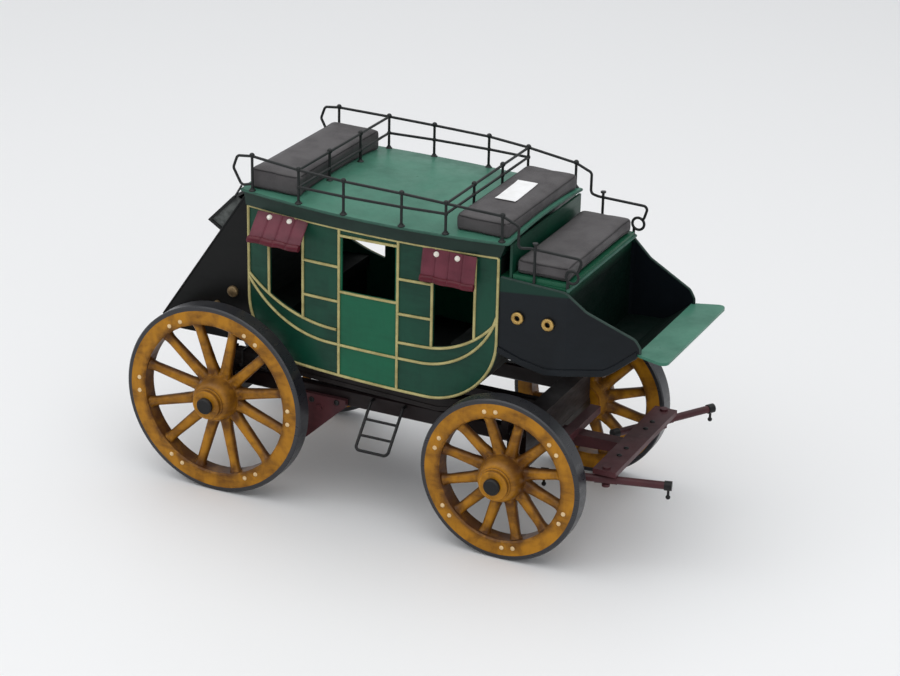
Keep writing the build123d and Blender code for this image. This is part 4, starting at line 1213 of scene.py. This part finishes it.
@dataclass
class Pad:
    """A stuffed seat pad, blown up by a cloth simulation at ten times life size and scaled back."""

    name: str
    node: str
    x0: float
    x1: float
    half: float
    low: float
    high: float
    tilt: float = 0.0
    on_deck: bool = False
    cap: float = 0.9
    pressure: float = 4.0
    voxel: float = 1.3
    scale: float = 10.0
    inset: float = 0.5
    edge: float = 1.5
    corner_power: float = 14.0
    piping_r: float = 0.42

    def block(self) -> Array:
        """Corners of the pad a little inside its solid, tilted about y: z = z0 - k (x - xm).

        Returns:
            Eight points.
        """
        mid = (self.x0 + self.x1) / 2
        grid = np.array([[x, y, z] for x in (-1, 1) for y in (-1, 1) for z in (0, 1)], float)
        x = mid + grid[:, 0] * ((self.x1 - self.x0) / 2 - self.inset)
        tall = self.high - self.low - self.inset
        z = self.low + grid[:, 2] * tall - self.tilt * (x - mid)
        return np.stack([x, grid[:, 1] * (self.half - self.inset), z], 1)

    def settle(self, points: Array) -> Array:
        """Keep the underside on the deck, or level on the board."""
        floor = CHASSIS.deck_z(points[:, 0], points[:, 1]) + 0.25 if self.on_deck else self.low
        return np.stack([points[:, 0], points[:, 1], np.maximum(points[:, 2], floor)], 1)

    def mesh(self) -> bpy.types.Object:
        """Bevel and remesh the block, then let the cloth swell and read it back.

        Returns:
            The pad, with its modifiers applied.
        """
        mesh = bpy.data.meshes.new(self.name)
        quads = [(0, 1, 3, 2), (4, 6, 7, 5), (0, 4, 5, 1), (2, 3, 7, 6), (0, 2, 6, 4), (1, 5, 7, 3)]
        middle = np.array([(self.x0 + self.x1) / 2, 0, self.low])
        mesh.from_pydata(((self.block() - middle) * MM * self.scale).tolist(), [], quads)
        pad = bpy.data.objects.new(self.name, mesh)
        link(pad)
        bevel = pad.modifiers.new("edges", "BEVEL")
        bevel.width, bevel.segments = self.edge * MM * self.scale, 3
        remesh = pad.modifiers.new("skin", "REMESH")
        remesh.mode, remesh.voxel_size = "VOXEL", self.voxel * MM * self.scale
        apply_modifiers(pad)
        start = read_points(pad)
        swell(pad, self.pressure)
        moved = read_points(pad) - start
        far = np.linalg.norm(moved, axis=1, keepdims=True)
        cap = self.cap * MM * self.scale
        points = start + moved * np.minimum(1.0, cap / np.maximum(far, 1e-9))
        points = self.settle(points / (MM * self.scale) + middle)
        points[:, 0] += CHASSIS.shift
        write_points(pad, points * MM)
        smooth = pad.modifiers.new("smooth", "SUBSURF")
        smooth.levels = smooth.render_levels = 1
        apply_modifiers(pad)
        pad.data.shade_smooth()
        return pad

    def seams(self, pad: bpy.types.Object) -> None:
        """Piping round the top and bottom edges, each point moved to the pad's nearest point.

        The guide is a superellipse, r(t) = (|cos t / a|^p + |sin t / b|^p)^(-1 / p).

        Args:
            pad: The finished pad.
        """
        points = read_points(pad) / MM
        points[:, 0] -= CHASSIS.shift
        t = np.linspace(0, 2 * np.pi, 220, endpoint=True)
        mid, hx, hy = (self.x0 + self.x1) / 2, (self.x1 - self.x0) / 2, self.half
        c, s = np.cos(t), np.sin(t)
        power = self.corner_power
        reach = (np.abs(c / hx) ** power + np.abs(s / hy) ** power) ** (-1 / power)
        x, y = mid + reach * c, reach * s
        piping = Surface()
        foot = CHASSIS.deck_z(x, y) + 1.2 if self.on_deck else np.full(len(x), self.low + 1.6)
        for z in (self.high - 0.3 - self.tilt * (x - mid), foot):
            guide = np.stack([x, y, z], 1)
            near = np.argmin(((guide[:, None] - points[None]) ** 2).sum(-1), axis=1)
            line = points[near]
            kernel = np.array([1, 2, 3, 2, 1]) / 9
            wide = np.concatenate([line[-3:-1], line, line[1:3]])
            line = np.stack([np.convolve(wide[:, k], kernel, mode="valid") for k in range(3)], 1)
            piping.add(*tube(line, self.piping_r, (0, 0, 1), 8))
        piping.build(f"{self.name}_piping", "coach", PIPING, 60)

    def build(self) -> bpy.types.Object:
        """Make the pad and its piping, and hide the solid it replaces.

        Returns:
            The pad.
        """
        pad = self.mesh()
        pad.data.materials.clear()
        pad.data.materials.append(PAD.material)
        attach(pad, "coach")
        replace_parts(pad, self.node)
        self.seams(pad)
        return pad


def apply_modifiers(piece: bpy.types.Object) -> None:
    """Replace the mesh by its evaluated copy and drop the modifiers.

    Args:
        piece: The object to change.
    """
    graph = bpy.context.evaluated_depsgraph_get()
    made = bpy.data.meshes.new_from_object(piece.evaluated_get(graph))
    piece.modifiers.clear()
    piece.data = made


def read_points(piece: bpy.types.Object) -> Array:
    """The mesh's vertices.

    Args:
        piece: The object to read.

    Returns:
        An N x 3 array in metres.
    """
    flat = np.empty(len(piece.data.vertices) * 3)
    piece.data.vertices.foreach_get("co", flat)
    return flat.reshape(-1, 3)


def write_points(piece: bpy.types.Object, points: Array) -> None:
    """Set the mesh's vertices from an N x 3 array in metres."""
    piece.data.vertices.foreach_set("co", points.ravel())
    piece.data.update()


def swell(piece: bpy.types.Object, pressure: float, frames: int = 20) -> None:
    """Run Blender's cloth with air pressure and no gravity, then keep its last shape.

    Args:
        piece: A closed mesh.
        pressure: Air pressure inside.
        frames: Frames to step through.
    """
    scene = bpy.context.scene
    cloth = piece.modifiers.new("cloth", "CLOTH")
    cloth.settings.use_pressure = True
    cloth.settings.uniform_pressure_force = pressure
    cloth.settings.effector_weights.gravity = 0.0
    cloth.settings.tension_stiffness = cloth.settings.compression_stiffness = 15.0
    cloth.settings.quality = 5
    cloth.collision_settings.use_collision = False
    cloth.point_cache.frame_start, cloth.point_cache.frame_end = 1, frames
    for number in range(1, frames + 1):
        scene.frame_set(number)
    apply_modifiers(piece)
    scene.frame_set(1)


@dataclass
class Label:
    """Blank paper label stuck on a seat: a sheet that follows the pad's crown."""

    at: tuple[float, float] = (150.3, -0.6)
    half: tuple[float, float] = (5.8, 16.0)
    turn: float = 5.0
    skew: float = 0.4
    blend: float = 4.0
    lift: float = 0.45
    curl: float = 0.3
    thick: float = 0.22
    rows: int = 9
    cols: int = 21

    def sheet(self, pad: bpy.types.Object) -> Array:
        """Upper face: each height is the mean of the pad's points near it, weighted exp(-d^2 / w).

        Args:
            pad: The seat pad below it.

        Returns:
            A rows x cols grid of points.
        """
        points = read_points(pad) / MM
        points[:, 0] -= CHASSIS.shift
        upper = points[points[:, 2] > points[:, 2].max() - 4.0]
        (hu, hv), turn = self.half, math.radians(self.turn)
        u, v = np.meshgrid(np.linspace(-hu, hu, self.rows), np.linspace(-hv, hv, self.cols),
                           indexing="ij")
        x = self.at[0] + u * math.cos(turn) - v * math.sin(turn) * self.skew
        y = self.at[1] + v * math.cos(turn) + u * math.sin(turn) * self.skew
        far = (x[..., None] - upper[:, 0]) ** 2 + (y[..., None] - upper[:, 1]) ** 2
        weight = np.exp(-far / self.blend)
        z = (weight * upper[:, 2]).sum(-1) / weight.sum(-1)
        return np.stack([x, y, z + self.lift + self.curl * (np.abs(v) / hv) ** 8], -1)

    def build(self, pad: bpy.types.Object) -> None:
        """Both faces and the skirt between them.

        Args:
            pad: The seat pad below it.
        """
        top = self.sheet(pad)
        drop = [0, 0, self.thick]
        label = Surface()
        faces = grid_faces(self.rows, self.cols)
        label.add(top.reshape(-1, 3), faces)
        label.add((top - drop).reshape(-1, 3), faces[:, ::-1])
        border = np.concatenate([top[:, 0], top[-1, 1:], top[::-1, -1][1:], top[0, ::-1][1:]])
        skirt = np.stack([border, border - drop])
        label.add(skirt.reshape(-1, 3), grid_faces(2, len(border))[:, ::-1])
        label.build("seat_label", "coach", PAPER, 30)


def flange(foot: float, neck: float, top: float, height: float) -> Line:
    """Profile of a post's round foot for lathe.

    Args:
        foot: Radius on the deck.
        neck: Radius half way up.
        top: Radius at the top.
        height: Height over the deck.

    Returns:
        Rows of distance and radius.
    """
    return ((-0.2, PINCH), (-0.2, foot), (0.25, foot), (0.7, neck), (height, top), (height, PINCH))


@dataclass
class Roof:
    """Rolled edge of the deck, and solder and flanges on the rails."""

    posts: tuple[float, ...] = (17.2, 47.3, 75.0, 108.9, 133.6, 163.9)
    post_in: float = 2.9
    low_z: float = 183.6
    cross: tuple[int, int] = (1, 4)
    cross_y: float = 18.0
    bead_r: float = 0.72
    deck_half: float = 55.6
    ball: tuple[float, float] = (1.35, 1.25)
    side_foot: tuple[float, float, float, float] = (2.0, 1.4, 0.95, 1.5)
    cross_foot: tuple[float, float, float, float] = (1.9, 1.3, 0.9, 1.4)

    def edge_line(self, off: float, inset: float) -> Array:
        """Closed plan line beside the roof: bowed sides and straight ends with eased corners.

        Args:
            off: Distance outside the side panels' face.
            inset: Distance inside the roof's ends.

        Returns:
            Rows of x, y and 0.
        """
        x = np.linspace(CHASSIS.roof_x0 + inset, CHASSIS.roof_x1 - inset, 60)
        y = CHASSIS.bow_y(x, off)
        ring = np.concatenate([np.stack([x, -y], 1), np.stack([x[::-1], y[::-1]], 1)])
        ring = np.concatenate([ring, ring[:1]])
        flat = np.concatenate([ring, np.zeros((len(ring), 1))], 1)
        return round_corners(flat, 1.0, 1.6)

    def edges(self) -> None:
        """Half-round bead round the deck."""
        bead = Surface()
        line = self.edge_line(CHASSIS.roof_over - 0.1, 0.1)
        half = np.minimum(np.abs(line[:, 1]), self.deck_half)
        line[:, 2] = CHASSIS.deck_z(line[:, 0], half) - 0.7
        bead.add(*tube(line, self.bead_r, (0, 0, 1), 8))
        bead.build("deck_bead", "coach", EDGE, 60)

    def solder(self) -> None:
        """Small rounded blobs where the rails meet the posts, and round flanges under the posts."""
        blobs = Surface()
        t = np.linspace(0, np.pi, 8)
        long, wide = self.ball
        ball = np.stack([-long * np.cos(t), wide * np.sin(t) + PINCH], 1)
        lo, hi = self.cross
        rows = [(k, x, float(CHASSIS.bow_y(x, self.post_in))) for k, x in enumerate(self.posts)]
        feet = [(x, side.value * y, lo <= k <= hi, self.side_foot)
                for side in Side for k, x, y in rows]
        feet += [(self.posts[k], y, True, self.cross_foot)
                 for k in self.cross for y in (-self.cross_y, self.cross_y)]
        for x, y, crossed, foot in feet:
            if crossed:
                blobs.add(*lathe(ball, (x, y, self.low_z), (0, 0, 1), 12))
            deck = float(CHASSIS.deck_z(x, y))
            blobs.add(*lathe(flange(*foot), (x, y, deck), (0, 0, 1), 16))
        blobs.build("rail_solder", "coach", RAIL, 40)

    def build(self) -> None:
        """Everything on the roof but the pads."""
        self.edges()
        self.solder()


@dataclass
class FrontBoot:
    """Rolled edges of the driver's boot."""

    plan: Line = ((162.0, 45.5), (201.0, 47.2), (239.8, 39.9))  # x and half width
    top: Line = ((163.0, 151.8), (200.0, 150.3), (211.0, 141.0), (236.5, 129.0), (239.4, 124.5),
                 (239.4, 121.8))
    keel: Line = ((238.0, 120.2), (226.6, 110.8), (221.0, 107.4), (204.6, 105.4), (189.6, 103.1),
                  (176.0, 105.4), (163.0, 109.6))
    ledge: Point = (201.0, 46.4, 151.6)
    ledge_r: float = 1.0
    trim_r: float = 0.7

    def on_side(self, side: Side, line: Line, off: float) -> Array:
        """Stand a line on the boot's side: y by linear interpolation of the plan.

        Args:
            side: Side of the coach.
            line: Points in x and z.
            off: Distance outside the plan.

        Returns:
            Rows of x, y and z, corners eased.
        """
        points = np.array([[x, 0.0, z] for x, z in line])
        eased = round_corners(points, 1.0, 1.5)
        stations, halves = zip(*self.plan)
        eased[:, 1] = side.value * (np.interp(eased[:, 0], stations, halves) + off)
        return eased

    def build(self) -> None:
        """Beads along the top edges, the keels and the seat ledge."""
        beads, trims, keels = Surface(), Surface(), Surface()
        for side in Side:
            trims.add(*tube(self.on_side(side, self.top, -0.6), self.trim_r, (0, 1, 0), 10))
            keels.add(*tube(self.on_side(side, self.keel, 0.1), self.trim_r, (0, 1, 0), 8))
        x, half, z = self.ledge
        line = spread(np.array([[x, -half, z], [x, half, z]]), 4.0)
        beads.add(*tube(line, self.ledge_r, (1, 0, 0), 10))
        trims.build("boot_trims", "coach", TRIM_HIGHLIGHT, 60)
        beads.build("seat_ledge_bead", "coach", EDGE, 60)
        keels.build("boot_keel_beads", "coach", KEEL, 60)


@dataclass
class RearBoot:
    """Domed studs on the rear boot's sides and a welt down its sloping corners."""

    half: float = 43.5
    studs: tuple[Point, ...] = ((1.0, 112.4, 3.0), (-9.2, 103.2, 1.7))  # x, z and radius
    slope: Line = ((8.6, 168.4), (-44.6, 90.2))
    welt_r: float = 0.7

    def build(self) -> None:
        """Studs in brass, welts in the boot's own dark finish."""
        domes, welts = Surface(), Surface()
        for side in Side:
            s = side.value
            for x, z, r in self.studs:
                at = (x, s * (self.half + 1.0), z)
                domes.add(*lathe(dome(r + 0.25, 1.5, 1.6, 7), at, (0, s, 0), 28))
            line = spread([(x, s * (self.half - 0.3), z) for x, z in self.slope], 3.0)
            welts.add(*tube(line, self.welt_r, (0, 1, 0), 8))
        domes.build("rear_boot_studs", "coach", OLD_BRASS, 40)
        welts.build("rear_boot_welts", "coach", REAR, 60)


@dataclass
class Underworks:
    """Bolt heads and strap clips under the coach."""

    strap_y: float = 44.0
    bar_x: float = 225.0
    bar_top: float = 54.6
    small: Point = (1.5, 0.9, 0.3)
    large: Point = (1.7, 1.1, 0.3)
    plate_y: float = 43.5
    plate_bolts: Line = ((50.0, 57.6), (65.5, 58.8))
    bolster: Point = (3.2, 43.98, 64.0)  # half the bolts' distance, y and z
    bar_bolts_y: tuple[float, float] = (14.0, 24.0)
    clip_at: Line = ((9.0, 79.45), (24.0, 79.5), (150.0, 79.9), (160.0, 81.5))
    clip: Line = ((-4.0, -8.2), (4.0, -8.2), (4.0, 0.5), (-4.0, 0.5), (-4.0, -8.2))  # y and z
    clip_r: float = 0.45

    def bolts(self) -> None:
        """Domed bolt heads on the brake plates, the bolsters and the splinter bar."""
        fixed, steered = Surface(), Surface()
        small, large = dome(*self.small), dome(*self.large)
        half, y0, z0 = self.bolster
        for s in (-1, 1):
            for x, z in self.plate_bolts:
                fixed.add(*lathe(large, (x, s * self.plate_y, z), (0, s, 0), 14))
            for x in (0.0, CHASSIS.wheelbase):
                for dx in (-half, half):
                    fixed.add(*lathe(small, (x + dx, s * y0, z0), (0, s, 0), 14))
            for y in self.bar_bolts_y:
                steered.add(*lathe(small, (self.bar_x, s * y, self.bar_top), (0, 0, 1), 14))
        fixed.build("bolster_bolts", "coach", BLACK)
        steered.build("splinter_bolts", "front_carriage", BLACK)

    def clips(self) -> None:
        """Iron clips round the straps: a wire swept round the strap's section."""
        clips = Surface()
        ring = spread(self.clip, 0.9)
        for s in (-1, 1):
            for x, z in self.clip_at:
                path = np.stack([np.full(len(ring), x), s * self.strap_y + ring[:, 0],
                                 z + ring[:, 1]], 1)
                clips.add(*tube(path, self.clip_r, (1, 0, 0), 8))
        clips.build("strap_clips", "coach", BLACK, 60)

    def build(self) -> None:
        """All of it."""
        self.bolts()
        self.clips()


@dataclass
class Floor:
    """Plain pale floor."""

    half: float = 3000.0
    colour: Colour = (0.85, 0.85, 0.85)
    roughness: float = 0.45

    def build(self) -> None:
        """A wide level sheet at z = 0."""
        axis = np.linspace(-self.half, self.half, 3)
        xx, yy = np.meshgrid(axis, axis, indexing="ij")
        points = np.stack([xx, yy, np.zeros_like(xx)], -1).reshape(-1, 3)
        mesh = bpy.data.meshes.new("floor")
        mesh.from_pydata((points * MM).tolist(), [], grid_faces(3, 3)[:, ::-1].tolist())
        material = bpy.data.materials.new("floor_pale")
        material.use_nodes = True
        shader = material.node_tree.nodes["Principled BSDF"]
        shader.inputs["Base Color"].default_value = (*self.colour, 1)
        shader.inputs["Roughness"].default_value = self.roughness
        mesh.materials.append(material)
        ground = bpy.data.objects.new("floor", mesh)
        link(ground)


@dataclass
class Studio:
    """Camera and soft lights."""

    focal_px: float = 2465.8
    width_px: float = 900.0
    azimuth: float = 25.2301
    elevation: float = 22.8384
    roll: float = 1.2654
    eye: Point = (646.4, -1132.1, 617.8)
    aim: Point = (0.0, 0.0, 0.08)
    sky: Colour = (0.95, 0.97, 1.0)
    sky_strength: float = 0.55
    # name, place in metres, size and power
    lights: tuple[tuple[str, Point, float, float], ...] = (
        ("key_overhead", (0.0, -0.2, 1.9), 3.0, 33.0),
        ("fill_right", (1.6, -1.3, 0.9), 1.2, 5.0),
        ("fill_left", (-1.5, -1.0, 0.8), 1.0, 3.0))

    def camera(self) -> None:
        """Camera whose right, up and back vectors are the columns of its turn."""
        az, el, roll = (math.radians(v) for v in (self.azimuth, self.elevation, self.roll))
        back = np.array([math.sin(az) * math.cos(el), -math.cos(az) * math.cos(el), math.sin(el)])
        right = np.cross(-back, (0, 0, 1.0))
        right /= np.linalg.norm(right)
        up = np.cross(right, -back)
        c, s = math.cos(roll), math.sin(roll)
        rolled = c * right + s * up, -s * right + c * up
        data = bpy.data.cameras.new("camera")
        data.sensor_width = 36.0
        data.lens = self.focal_px / self.width_px * data.sensor_width
        data.clip_start, data.clip_end = 0.05, 50.0
        cam = bpy.data.objects.new("camera", data)
        eye = (np.array(self.eye) + [CHASSIS.shift, 0, 0]) * MM
        turn = np.eye(4)
        turn[:3] = np.stack([*rolled, back, eye], 1)
        cam.matrix_world = Matrix(turn.tolist())
        link(cam)
        bpy.context.scene.camera = cam

    def light(self, name: str, at: Point, size: float, power: float) -> None:
        """A square area light aimed at the coach.

        Args:
            name: Its name.
            at: Its place in metres.
            size: Its side in metres.
            power: Its power in watts.
        """
        data = bpy.data.lights.new(name, "AREA")
        data.size, data.energy = size, power
        lamp = bpy.data.objects.new(name, data)
        lamp.location = at
        to_coach = Vector(self.aim) - Vector(at)
        lamp.rotation_euler = to_coach.to_track_quat("-Z", "Y").to_euler()
        link(lamp)

    def build(self) -> None:
        """Set up everything."""
        self.camera()
        for light in self.lights:
            self.light(*light)
        world = bpy.data.worlds.new("studio")
        world.use_nodes = True
        sky = world.node_tree.nodes["Background"]
        sky.inputs["Color"].default_value = (*self.sky, 1)
        sky.inputs["Strength"].default_value = self.sky_strength
        bpy.context.scene.world = world
        bpy.context.scene.view_settings.view_transform = "Standard"


@dataclass
class Coachwork:
    """Finishes of the solids that need no more than paint."""

    table: tuple[tuple[Finish, tuple[str, ...]], ...] = (
        (GREEN, ("side_panel_right", "side_panel_left")),
        (DOOR, ("door_right", "door_left")),
        (SHADOW_GREEN, ("roof_cornice",)),
        (LEDGE_SHADE_AND_HIGHLIGHT, ("boot_ledge",)),
        (SEAT_BACK, ("seat_back_panel",)),
        (CABIN_SHADE, ("end_walls", "floor_pan", "benches")),
        (SLATE, ("boot_side_right", "boot_side_left")),
        (WELL_SHADE, ("boot_floor",)),
        (DECK, ("roof_deck", "footboard")),
        (BLACK, ("rear_axle", "front_axle", "step_right", "step_left", "singletree_irons_right",
                 "singletree_irons_left")),
        (RAIL, ("rail_right", "rail_left", "rail_cross")),
        (REAR, ("rear_boot",)),
        (HOOD, ("boot_hood",)),
        (UNDER_SHADE, ("rear_bolster", "front_bolster", "perch", "side_perch_right", "side_perch_left")),
        (BURGUNDY, ("brake_gear", "splinter_bar", "singletree_right", "singletree_left")),
        (STRAP, ("thoroughbrace_right", "thoroughbrace_left")),
        (BRASS, ("boot_eyelets",)),
    )

    def dress(self) -> None:
        """Paint every solid in the table."""
        for finish, nodes in self.table:
            finish.dress(*nodes)


def seat_pads() -> None:
    """The three outside seats, with the blank label on the front one."""
    rear_edge, fore_edge = (float(CHASSIS.head_z(x)) + CHASSIS.cornice_h for x in (29.6, 150.4))
    rear = Pad("roof_pad_rear", "roof_seat_rear", 14.0, 45.2, 48.0,
               rear_edge + 0.6, rear_edge + 13.0, CHASSIS.slope, True)
    front = Pad("roof_pad_front", "roof_seat_front", 135.0, 167.2, 46.5,
                fore_edge + 0.6, fore_edge + 10.2, CHASSIS.slope, True)
    driver = Pad("driver_pad", "driver_seat", 169.6, 200.5, 44.5, 154.5, 163.0)
    rear.build()
    front_pad = front.build()
    driver.build()
    Label().build(front_pad)


def main() -> None:
    """Build the coach's pieces in order."""
    logging.basicConfig(level=logging.INFO, format="%(message)s")
    Coachwork().dress()
    for side in Side:
        Wheel("rear", side, CHASSIS.rear_r, 0.0, rivet_r=47.4, first_pair=119.5).dress()
        Wheel("front", side, CHASSIS.front_r, CHASSIS.wheelbase, rivet_r=39.0,
              first_pair=99.1).dress()
        BodySide(side).wires()
    Blinds().build()
    Roof().build()
    FrontBoot().build()
    RearBoot().build()
    Underworks().build()
    seat_pads()
    Floor().build()
    Studio().build()


if __name__ == "__main__":
    main()
